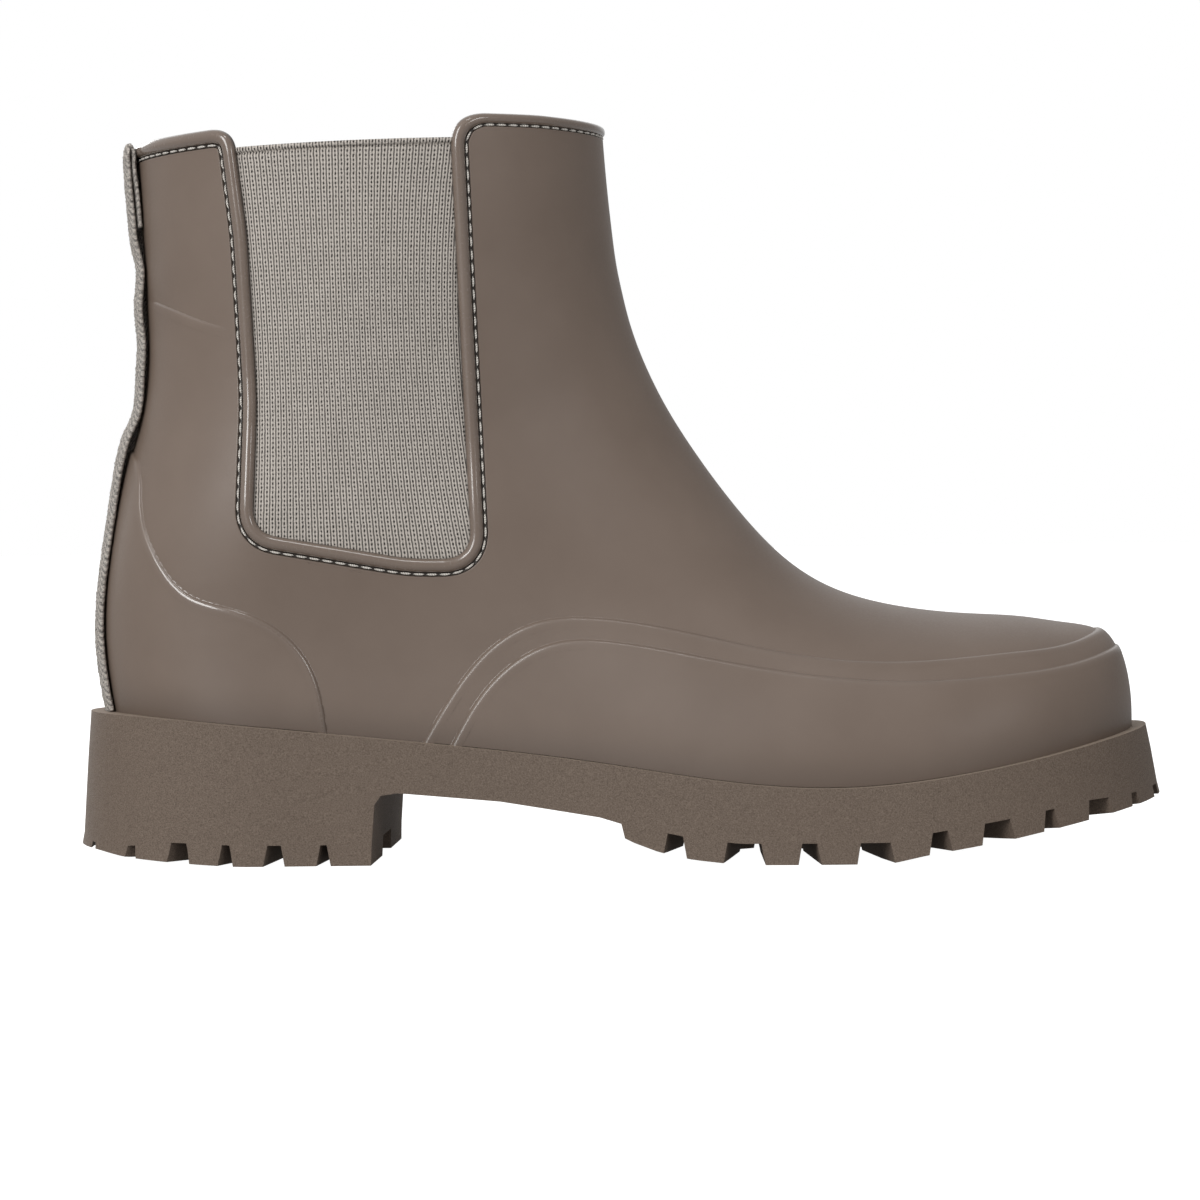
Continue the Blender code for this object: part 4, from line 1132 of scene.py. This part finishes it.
def heel_tape():
    """The woven tape: a strip of even thickness carried up the back edge, over its fold and down inside."""
    chord = run_length(np.stack([TAPE["z"], TAPE["away"]], axis=-1))
    runs = [np.linspace(chord[start], chord[end], count) for start, end, count in TAPE_RUNS]
    at = np.unique(np.concatenate(runs))
    away = natural_spline(chord, TAPE["away"])(at)[:, None, None]
    half = np.interp(at, chord, TAPE["half"])
    half = half + sum(size * np.sin(at * rate) for size, rate in TAPE_RIPPLES)
    share = np.sin(np.linspace(-0.5, 0.5, TAPE_COLUMNS) * np.pi)
    y = half[:, None] * share
    z = np.repeat(natural_spline(chord, TAPE["z"])(at)[:, None], TAPE_COLUMNS, axis=1)
    bend = np.clip((y / base_half(back_x(z), z, LATERAL)) ** 2, 0.0, 1.0)
    bend = 1.0 - (1.0 - bend) ** (1.0 / back_power(z))

    def back_face(height):
        return np.stack([back_x(height) + back_round(height) * bend, y, height], axis=-1)

    surface = back_face(z)
    out = unit(np.cross(surface - back_face(z - TAPE_SLOPE_STEP), np.gradient(surface, axis=1)))
    out = out * np.sign(-out[..., :1])
    middle = surface + out * away
    normal = unit(np.cross(np.gradient(middle, axis=0), np.gradient(middle, axis=1)))
    normal = normal * np.sign(dot(normal, out)[0, TAPE_COLUMNS // 2])
    round_edge = np.sqrt(np.clip(1.0 - np.abs(share) ** TAPE_EDGE_POWER, 0.0, 1.0))
    wool = np.random.default_rng(TAPE_SEED).normal(0.0, TAPE_WOOL, (2,) + z.shape) * round_edge
    half_thick = 0.5 * np.interp(at, chord, TAPE["thick"])[:, None] * round_edge
    first = middle + normal * (half_thick + wool[0])[..., None]
    second = middle - normal * (half_thick + TAPE_INNER_WOOL * wool[1])[..., None]
    uv = np.stack(np.broadcast_arrays(y, at[:, None]), axis=-1) * UV_MM
    return two_faced("tape", first, second, uv), at[-1]


def grown(outline, distance):
    """A closed plan outline moved outward along its corner normals."""
    before = unit(outline - np.roll(outline, 1, axis=0))
    after = unit(np.roll(outline, -1, axis=0) - outline)
    tangent = unit(before + after)
    normal = np.stack([tangent[:, 1], -tangent[:, 0]], axis=-1)
    area = np.sum(outline[:, 0] * np.roll(outline[:, 1], -1) - np.roll(outline[:, 0], -1) * outline[:, 1])
    stretch = 1.0 / np.maximum(dot(tangent, after)[:, None], CORNER_STRETCH)
    return outline + np.sign(area) * normal * distance * stretch


def foot_edge(side):
    """Plan points of the shell's lower edge on one side, evenly spaced from the tip round to the heel."""
    fine = np.linspace(0.0, CORNER_ALONG, SOLE_FINE_POINTS)
    points = shell(fine, side)[:, :2]
    length = run_length(points)
    return along_line(points, length, np.linspace(0.0, length[-1], SOLE_POINTS))


def foot_outline(distance):
    """Both sides of the lower edge moved out in plan by a distance that may vary along the boot."""
    closed = np.concatenate([foot_edge(LATERAL), foot_edge(MEDIAL)[-2:0:-1]])
    moved = grown(closed, distance(closed[:, 0])[:, None])
    return moved[:SOLE_POINTS], np.concatenate([moved[:1], moved[:SOLE_POINTS - 2:-1]])


def scratch_solid(name, points, faces):
    """A closed solid for cutting, with doubles merged and faces outward."""
    mesh = bpy.data.meshes.new(name)
    mesh.from_pydata(row_place(points).tolist(), [], faces)
    rework(mesh, merge(SCRATCH_WELD), drop_slivers, outward)
    return linked(name, mesh)


def ring_faces(count):
    """Faces of a prism between two rings of a count of points, its two ends first."""
    here = np.arange(count)
    after = np.roll(here, -1)
    sides = np.stack([here, after, after + count, here + count], axis=-1).tolist()
    return [list(range(count)), list(range(2 * count - 1, count - 1, -1))] + sides


def prism(name, outline, far_shift=0.0):
    """A side-view outline carried across the boot."""
    x, z = np.transpose(outline)
    near = np.column_stack([x, np.full(len(x), -ACROSS), z])
    far = near + (far_shift, 2.0 * ACROSS, 0.0)
    return scratch_solid(name, np.concatenate([near, far]), ring_faces(len(x)))


def cut(body, tool, tool_overlaps=False):
    """A tool cut out of a body by an exact Boolean, after which the tool is taken away."""
    modifier = body.modifiers.new("cut", "BOOLEAN")
    modifier.operation = "DIFFERENCE"
    modifier.solver = "EXACT"
    modifier.object = tool
    modifier.use_self = tool_overlaps
    graph = bpy.context.evaluated_depsgraph_get()
    graph.update()
    result = bpy.data.meshes.new_from_object(body.evaluated_get(graph))
    body.modifiers.clear()
    body.data = result
    bpy.data.objects.remove(tool)


def ladder(name, levels):
    """A closed solid through stacked plan outlines, joined across from lateral to medial at both ends."""
    rings = [np.column_stack([side, height(side[:, 0])]) for sides, height in levels for side in sides]
    count = len(rings[0])
    here = np.arange(count - 1)

    def strip(start, other):
        first = start * count + here
        second = other * count + here
        return np.stack([first, first + 1, second + 1, second], axis=-1)

    faces = [strip(ring, ring + 2) for ring in range(len(rings) - 2)]
    faces += [strip(0, 1), strip(len(rings) - 2, len(rings) - 1)]
    return scratch_solid(name, np.concatenate(rings), np.concatenate(faces).tolist())


def lug_block(corners):
    """One tapered lug through the tread: plan corners at its foot, wider where it leaves the sole."""
    corners = np.asarray(corners, float)
    underside = tread_z(corners[:, 0])
    foot = np.column_stack([grown(corners, -LUG_DRAFT), underside - LUG_THROUGH])
    root = np.column_stack([grown(corners, LUG_DRAFT), underside + LUG_THROUGH])
    return np.concatenate([foot, root]), ring_faces(len(corners))


def lug_wall(edge, x, reach, slant, side):
    """Outer and inner ends of lug walls that cross the outline at x, square to it but for a slant."""
    order = np.argsort(edge[:, 0])

    def outline_y(at):
        return np.interp(at, edge[order, 0], edge[order, 1])

    slope = (outline_y(x + LUG_SLOPE_STEP) - outline_y(x - LUG_SLOPE_STEP)) / (2.0 * LUG_SLOPE_STEP)
    square = unit(side * np.stack([-slope, np.ones(len(x))], axis=-1))
    on_edge = np.stack([x, outline_y(x)], axis=-1)
    inner = on_edge - square * reach + np.array([slant, 0.0])
    return on_edge + unit(on_edge - inner) * LUG_OUTSIDE, inner


def tread_lugs():
    """All lugs as one tool: both sides square to the outline, then the row down the middle."""
    blocks = []
    for side, edge in zip(SIDES, foot_outline(lambda x: ledge_width(x) + ledge_flare(x))):
        for start, end, reach, slant in zip(*LUGS.values()):
            shift = 0.5 * ARCH_MEDIAL_SHIFT if side == MEDIAL and end < LUG_SHIFT_END else 0.0
            outer, inner = lug_wall(edge, np.array([start, end]) + shift, reach, slant, side)
            blocks.append(lug_block([outer[0], outer[1], inner[1], inner[0]]))
    for x, length, width in zip(*CENTRE_LUGS.values()):
        blocks.append(lug_block(HEXAGON * (0.5 * length, 0.5 * width) + (x, float(centre_y(x)))))
    points = np.concatenate([block for block, _ in blocks])
    starts = np.cumsum([0] + [len(block) for block, _ in blocks])
    faces = [[start + i for i in face] for start, (_, block) in zip(starts, blocks) for face in block]
    return scratch_solid("lugs", points, faces)


def sole_level(flare, feather, above):
    """Outline and height of one level of the sole's wall, between the feather line and the tread."""
    outline = foot_outline(lambda x: ledge_width(x) + flare * ledge_flare(x))
    return outline, lambda x: feather * feather_z(x) + (1.0 - feather) * (tread_z(x) + above)


def lugged_sole():
    """The sole: flared wall, hollow waist, lugs cut from the tread, the upper's seat and softened edges."""
    sole = ladder("sole", [sole_level(*level) for level in zip(*SOLE_LEVELS.values())])
    arch = np.stack([ARCH["x"], ARCH["z"]], axis=-1)
    cut(sole, prism("arch", arch, far_shift=ARCH_MEDIAL_SHIFT * 2.0 * ACROSS / ARCH_SHIFT_WIDTH))
    x = np.linspace(-TREAD_END, TREAD_END, TREAD_POINTS)
    ceiling = np.column_stack([x, tread_z(x) + tread_depth(x)])
    tread = prism("tread", np.concatenate([ceiling, [(TREAD_END, TREAD_FLOOR), (-TREAD_END, TREAD_FLOOR)]]))
    cut(tread, tread_lugs(), tool_overlaps=True)
    cut(sole, tread)
    seat = foot_outline(lambda x: np.full(np.shape(x), SEAT_GAP))
    floor = (seat, lambda x: feather_z(x) - SEAT_DEPTH)
    mouth = (seat, lambda x: feather_z(x) + SEAT_ABOVE)
    cut(sole, ladder("seat", [floor, mouth]))
    rework(sole.data, merge(SOLE_WELD), flatten)
    sole.data.shade_smooth()
    bevel = sole.modifiers.new("soft_edges", "BEVEL")
    bevel.width = SOLE_EDGE * MM
    bevel.segments = 2
    bevel.limit_method = "ANGLE"
    bevel.angle_limit = SOLE_EDGE_ANGLE
    bevel.harden_normals = True
    bevel.use_clamp_overlap = True
    return sole


def tone(colour):
    """A display colour from 0 to 255 as the linear colour that a shader takes."""
    share = np.array(colour) / 255.0
    linear = np.where(share <= 0.04045, share / 12.92, ((share + 0.055) / 1.055) ** 2.4)
    return (*linear.tolist(), 1.0)


class Sheet:
    """A node tree with short ways to add nodes, links and the values of a shader."""

    def __init__(self, tree):
        self.tree = tree

    def add(self, kind, **values):
        """A new node with some of its settings."""
        node = self.tree.nodes.new(kind)
        for name, value in values.items():
            setattr(node, name, value)
        return node

    def feed(self, socket, value):
        """A link into a socket, or its constant."""
        if isinstance(value, bpy.types.NodeSocket):
            self.tree.links.new(value, socket)
        else:
            socket.default_value = value

    def fed(self, node, *values):
        """The first output of a node whose inputs are fed in their order."""
        for socket, value in zip(node.inputs, values):
            self.feed(socket, value)
        return node.outputs[0]

    def math(self, operation, *values, clamp=False):
        """One step of arithmetic on values or sockets."""
        return self.fed(self.add("ShaderNodeMath", operation=operation, use_clamp=clamp), *values)

    def spread(self, value, low, high, to_low, to_high):
        """A value brought from one range to another and held within it."""
        return self.fed(self.add("ShaderNodeMapRange"), value, low, high, to_low, to_high)

    def swing(self, noise, low=0.0, high=1.0):
        """A noise brought from its usual range to another one."""
        return self.spread(noise, NOISE_LOW, NOISE_HIGH, low, high)

    def noise(self, vector, scale, detail, roughness):
        """Noise on a vector."""
        node = self.add("ShaderNodeTexNoise")
        settings = {"Vector": vector, "Scale": scale, "Detail": detail, "Roughness": roughness}
        for name, value in settings.items():
            self.feed(node.inputs[name], value)
        return node.outputs["Fac"]

    def mix(self, share, first, second, blend="MIX"):
        """Two colours mixed by a share."""
        node = self.add("ShaderNodeMix", data_type="RGBA", blend_type=blend)
        for place, value in ((0, share), (6, first), (7, second)):
            self.feed(node.inputs[place], value)
        return node.outputs[2]

    def tones(self, share, pair):
        """A pair of display colours mixed by a share."""
        return self.mix(share, tone(pair[0]), tone(pair[1]))

    def split(self, vector):
        """The three parts of a vector."""
        node = self.add("ShaderNodeSeparateXYZ")
        self.feed(node.inputs[0], vector)
        return node.outputs

    def surface(self):
        """The piece's own UV map."""
        return self.add("ShaderNodeUVMap", uv_map="surface").outputs["UV"]

    def grain(self, scales, heights):
        """The grain group placed on object coordinates: its clouds, its grain and its height."""
        group = self.add("ShaderNodeGroup", node_tree=moulded_grain)
        self.feed(group.inputs["Vector"], self.add("ShaderNodeTexCoord").outputs["Object"])
        for name, value in zip(GRAIN_INPUTS, scales + heights):
            self.feed(group.inputs[name], value)
        return [group.outputs[name] for name in GRAIN_OUTPUTS]

    def cloth(self):
        """The cloth's UV map, and from it the millimetres across and up."""
        uv = self.surface()
        across, up = [self.math("MULTIPLY", part, 1.0 / UV_MM) for part in self.split(uv)[:2]]
        return uv, across, up

    def shade(self, height, relief, inputs):
        """The shader's values and links, and a height as its normal by a relief in millimetres."""
        shader = self.tree.nodes["Principled BSDF"]
        for name, value in inputs.items():
            self.feed(shader.inputs[name], value)
        bump = self.add("ShaderNodeBump")
        bump.inputs["Strength"].default_value = 1.0
        bump.inputs["Distance"].default_value = relief * MM
        self.feed(bump.inputs["Height"], height)
        self.feed(shader.inputs["Normal"], bump.outputs["Normal"])


def grain_group():
    """Fine grain of moulded rubber: soft clouds of tone, pin-fine grain and slow waves of the surface.

    Its height in millimetres is the grain times its own height plus the waves times theirs.
    """
    tree = bpy.data.node_groups.new("moulded_grain", "ShaderNodeTree")
    tree.interface.new_socket("Vector", in_out="INPUT", socket_type="NodeSocketVector")
    for in_out, names in (("INPUT", GRAIN_INPUTS), ("OUTPUT", GRAIN_OUTPUTS)):
        for name in names:
            tree.interface.new_socket(name, in_out=in_out, socket_type="NodeSocketFloat")
    sheet = Sheet(tree)
    given = sheet.add("NodeGroupInput").outputs
    cloud = sheet.noise(given["Vector"], given["Cloud Scale"], *CLOUD_NOISE)
    grain = sheet.noise(given["Vector"], given["Grain Scale"], *GRAIN_NOISE)
    wave = sheet.noise(given["Vector"], given["Wave Scale"], *WAVE_NOISE)
    slow = sheet.math("MULTIPLY", wave, given["Wave Height"])
    height = sheet.math("MULTIPLY_ADD", grain, given["Grain Height"], slow)
    out = sheet.add("NodeGroupOutput")
    for name, value in zip(GRAIN_OUTPUTS, (cloud, grain, height)):
        sheet.feed(out.inputs[name], value)
    return tree


moulded_grain = grain_group()


def new_finish(name):
    """A fresh material and its node sheet."""
    material = bpy.data.materials.new(name)
    material.use_nodes = True
    return material, Sheet(material.node_tree)


def rubber_finish(name, tones, roughness, heights):
    """Moulded rubber: two close tones in clouds, faint grain and waves, glossier edges, painted shade in
    grooves and above the sole.
    """
    material, sheet = new_finish(name)
    cloud, grain, height = sheet.grain(RUBBER_SCALES, heights)
    gloss, shade = sheet.split(sheet.surface())[:2]
    # The UV map's second direction is painted shade, mixed into the colour here
    painted_shade = sheet.math("MULTIPLY", shade, PAINTED_SHADE_SHARE, clamp=True)
    rough = sheet.swing(grain, roughness - ROUGHNESS_LESS, roughness + ROUGHNESS_MORE)
    sheet.shade(height, 1.0, {
        "Base Color": sheet.mix(painted_shade, sheet.tones(sheet.swing(cloud), tones), tone(PAINTED_SHADE_TONE)),
        "Roughness": sheet.math("MULTIPLY_ADD", gloss, EDGE_ROUGHNESS - roughness, rough),
        "Coat Weight": gloss,
        "Coat Roughness": COAT_ROUGHNESS,
        "Specular IOR Level": 0.5,
    })
    return material


def sole_finish():
    """Matte sole rubber: fine sandy grain in relief with pale specks, and painted light that makes its
    upward faces paler.
    """
    material, sheet = new_finish("sole_rubber")
    cloud, grain, height = sheet.grain(SOLE_SCALES, SOLE_HEIGHTS)
    base = sheet.tones(sheet.swing(cloud), SOLE_TONES)
    grainy = sheet.tones(sheet.spread(grain, *SOLE_SPECKS), SOLE_GRAIN_TONES)
    upward = sheet.split(sheet.add("ShaderNodeTexCoord").outputs["Normal"])[2]
    # Painted light: the more a face of the sole looks up, the paler it is drawn
    painted_top_light = sheet.spread(upward, *SOLE_PAINTED_LIGHT_FACING)
    sheet.shade(height, 1.0, {
        "Base Color": sheet.mix(painted_top_light, sheet.mix(SOLE_GRAIN_SHARE, base, grainy), tone(SOLE_PAINTED_LIGHT_TONE)),
        "Roughness": sheet.swing(grain, 0.78, 0.64),
        "Specular IOR Level": 0.4,
    })
    return material


def gore_finish():
    """Woven elastic: pale upright cords in pairs, a dark line beside each pair and dark holes inside it."""
    material, sheet = new_finish("gore_elastic")
    uv, across, up = sheet.cloth()
    stray = sheet.swing(sheet.noise(uv, *GORE_STRAY_NOISE), -CORD_STRAY, CORD_STRAY)
    place = sheet.math("ADD", across, stray)
    pair = sheet.math("COSINE", sheet.math("MULTIPLY", place, FULL_TURN / CORD_PAIR))
    height = sheet.math("MULTIPLY_ADD", stray, PICK_STRAY, up)
    pick = sheet.math("SINE", sheet.math("MULTIPLY", height, FULL_TURN / PICK))
    dots = sheet.math("MULTIPLY", sheet.spread(pair, *CORD_GAP), sheet.spread(pick, *CORD_HOLES))
    yarn = sheet.noise(uv, *GORE_YARN_NOISE)
    slub = sheet.math("MULTIPLY_ADD", pick, -KNOT, sheet.swing(yarn, -CORD_SLUB, CORD_SLUB))
    level = sheet.math("SUBTRACT", sheet.math("SUBTRACT", CORD_LEVEL, dots), sheet.spread(pair, *CORD_LINE))
    level = sheet.math("ADD", level, slub)
    base = sheet.tones(sheet.spread(level, *GORE_TONE_RANGE), GORE_TONES)
    tint = sheet.tones(sheet.swing(sheet.noise(uv, *GORE_TINT_NOISE)), GORE_TINTS)
    sheet.shade(level, GORE_RELIEF, {
        "Base Color": sheet.mix(1.0, base, tint, "MULTIPLY"),
        "Roughness": sheet.swing(yarn, 0.74, 0.9),
        "Sheen Weight": 0.1,
        "Specular IOR Level": 0.25,
    })
    return material


def tape_finish():
    """Heathered tape: a fine herringbone of pale and dark yarns with soft flecks of fibre."""
    material, sheet = new_finish("tape_weave")
    uv, across, up = sheet.cloth()
    stripe = sheet.math("ADD", sheet.math("PINGPONG", across, TAPE_CHEVRON), up)
    rib = sheet.math("SINE", sheet.math("MULTIPLY", stripe, FULL_TURN / TAPE_RIB))
    fine = sheet.noise(uv, *TAPE_FINE_NOISE)
    level = sheet.math("MULTIPLY", fine, 1.0 - TAPE_FLECK_SHARE)
    level = sheet.math("MULTIPLY_ADD", sheet.noise(uv, *TAPE_FLECK_NOISE), TAPE_FLECK_SHARE, level)
    level = sheet.math("MULTIPLY_ADD", rib, TAPE_RIB_SHARE, level)
    sheet.shade(level, TAPE_RELIEF, {
        "Base Color": sheet.tones(sheet.spread(level, *TAPE_TONE_RANGE), TAPE_TONES),
        "Roughness": sheet.swing(fine, 0.82, 0.95),
        "Sheen Weight": 0.15,
        "Specular IOR Level": 0.2,
    })
    return material


def thread_finish():
    """Pale sewing thread with its twist."""
    material, sheet = new_finish("thread")
    _, along, angle = sheet.cloth()
    twist = sheet.math("SINE", sheet.math("MULTIPLY_ADD", along, THREAD_TWIST, angle))
    share = sheet.spread(twist, -1.0, 1.0, 0.0, 1.0)
    sheet.shade(twist, THREAD_RELIEF, {"Base Color": sheet.tones(share, THREAD_TONES), "Roughness": 0.55})
    return material


def insole_finish():
    """Foot bed cloth: fine brushed fibres in two greys."""
    material, sheet = new_finish("insole_cloth")
    _, grain, height = sheet.grain(INSOLE_SCALES, INSOLE_HEIGHTS)
    base = sheet.tones(sheet.swing(grain), INSOLE_TONES)
    sheet.shade(height, 1.0, {"Base Color": base, "Roughness": 0.9})
    return material


def dress(piece, material, slot, *nodes):
    """Give a piece its finish, its body and the CAD nodes that it stands for; the slot is not used."""
    piece.data.materials.clear()
    piece.data.materials.append(material)
    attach(piece, "root")
    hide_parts(*nodes)


def make_boot():
    """Every visible piece of the boot."""
    shell_rubber = rubber_finish("shell_rubber", SHELL_TONES, SHELL_ROUGHNESS, SHELL_HEIGHTS)
    inside_rubber = rubber_finish("inside_rubber", LINING_TONES, LINING_ROUGHNESS, LINING_HEIGHTS)
    upper = [
        shell_skin(),
        rim_bead(),
        step_edge("band_edge", band_trail, 0.0, BAND_RAISE, BAND_POLISH),
        step_edge("mudguard_edge", mudguard_trail, BAND_RAISE, MUDGUARD_RAISE, MUDGUARD_POLISH),
        step_edge("counter_edge", counter_trail, 0.0, COUNTER_RAISE, counter_polish(counter_trail)),
    ]
    for side, trail in crease_trails.items():
        name = "crease_" + SIDES[side]
        fade = crease_fade(trail)
        upper.append(step_edge(name, trail, 0.0, CREASE_RAISE, crease_polish(trail), fade, drop_ends=0.0))
    for piece in upper:
        dress(piece, shell_rubber, "upper", "upper")
    dress(shell_inside(), inside_rubber, "upper", "upper")
    dress(rim_stitches(), thread_finish(), "upper", "upper")
    elastic = gore_finish()
    for side, name in SIDES.items():
        piece = gore("gore_" + name + "_cloth", side)
        dress(piece, elastic, "gore", "gore_" + name)
    strip, strip_length = heel_tape()
    dress(strip, tape_finish(), "tape", "heel_tape")
    dress(lugged_sole(), sole_finish(), "outsole", "outsole")
    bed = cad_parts["insole"]
    bed.data.materials.clear()
    bed.data.materials.append(insole_finish())


def make_camera():
    """The photograph's camera: level with the upper sole, a metre off, aimed a little down and rolled."""
    data = bpy.data.cameras.new("camera")
    data.lens = CAMERA_LENS
    data.sensor_width = CAMERA_SENSOR
    data.clip_start = CAMERA_CLIP
    camera = linked("camera", data)
    camera.location = row_place(CAMERA_AT)
    drop = (CAMERA_AT[2] - CAMERA_AIM_HEIGHT) / abs(CAMERA_AT[1])
    camera.rotation_euler = (np.pi / 2.0 - np.arctan(drop), 0.0, 0.0)
    camera.rotation_euler.rotate_axis("Z", CAMERA_ROLL)
    bpy.context.scene.camera = camera


def add_light(name, place, aim, size, power):
    """A soft rectangular light at a place in metres, turned to what it lights."""
    data = bpy.data.lights.new(name, "AREA")
    data.shape = "RECTANGLE"
    data.size, data.size_y = size
    data.energy = power
    light = linked(name, data)
    light.location = place
    light.rotation_euler = (Vector(aim) - Vector(place)).to_track_quat("-Z", "Y").to_euler()


def camera_white(sheet, other):
    """One for what the camera sees itself, another value for light that falls on the boot."""
    return sheet.spread(sheet.add("ShaderNodeLightPath").outputs["Is Camera Ray"], 0.0, 1.0, other, 1.0)


def add_floor():
    """A large pale floor, white to the camera, that glows dimly on the boot and is clear from below."""
    mesh = bpy.data.meshes.new("floor")
    corners = [(x * FLOOR_SIZE, y * FLOOR_SIZE, 0.0) for x, y in ((-1, -1), (1, -1), (1, 1), (-1, 1))]
    mesh.from_pydata(corners, [], [(0, 1, 2, 3)])
    material, sheet = new_finish("pale_floor")
    shader = material.node_tree.nodes["Principled BSDF"]
    shader.inputs["Base Color"].default_value = FLOOR_GREY
    shader.inputs["Roughness"].default_value = FLOOR_ROUGHNESS
    shader.inputs["Emission Color"].default_value = WHITE
    sheet.feed(shader.inputs["Emission Strength"], camera_white(sheet, FLOOR_GLOW))
    from_below = sheet.add("ShaderNodeNewGeometry").outputs["Backfacing"]
    clear = sheet.add("ShaderNodeBsdfTransparent").outputs[0]
    surface = sheet.fed(sheet.add("ShaderNodeMixShader"), from_below, shader.outputs[0], clear)
    sheet.feed(material.node_tree.nodes["Material Output"].inputs["Surface"], surface)
    mesh.materials.append(material)
    linked("floor", mesh)


def add_surroundings():
    """White to the camera; to the boot, bright above, behind and on the left, and dim on the right."""
    world = bpy.data.worlds.new("studio")
    world.use_nodes = True
    sheet = Sheet(world.node_tree)
    where = sheet.split(sheet.add("ShaderNodeTexCoord").outputs["Generated"])
    total = WORLD_BASE
    for direction, start, full, strength in WORLD_PARTS:
        toward = 0.0
        for share, axis in zip(direction, where):
            toward = sheet.math("MULTIPLY_ADD", axis, share, toward)
        total = sheet.math("ADD", sheet.spread(toward, start, full, 0.0, strength), total)
    back = world.node_tree.nodes["Background"]
    back.inputs["Color"].default_value = WHITE
    sheet.feed(back.inputs["Strength"], camera_white(sheet, total))
    bpy.context.scene.world = world


def make_studio():
    """Pale floor, soft surroundings, a key light on the left and weaker ones overhead, right and behind."""
    add_floor()
    add_surroundings()
    for name, settings in LIGHTS.items():
        add_light(name, *settings)
    view = bpy.context.scene.view_settings
    view.view_transform = "Standard"
    view.look = "None"


make_camera()
make_boot()
make_studio()
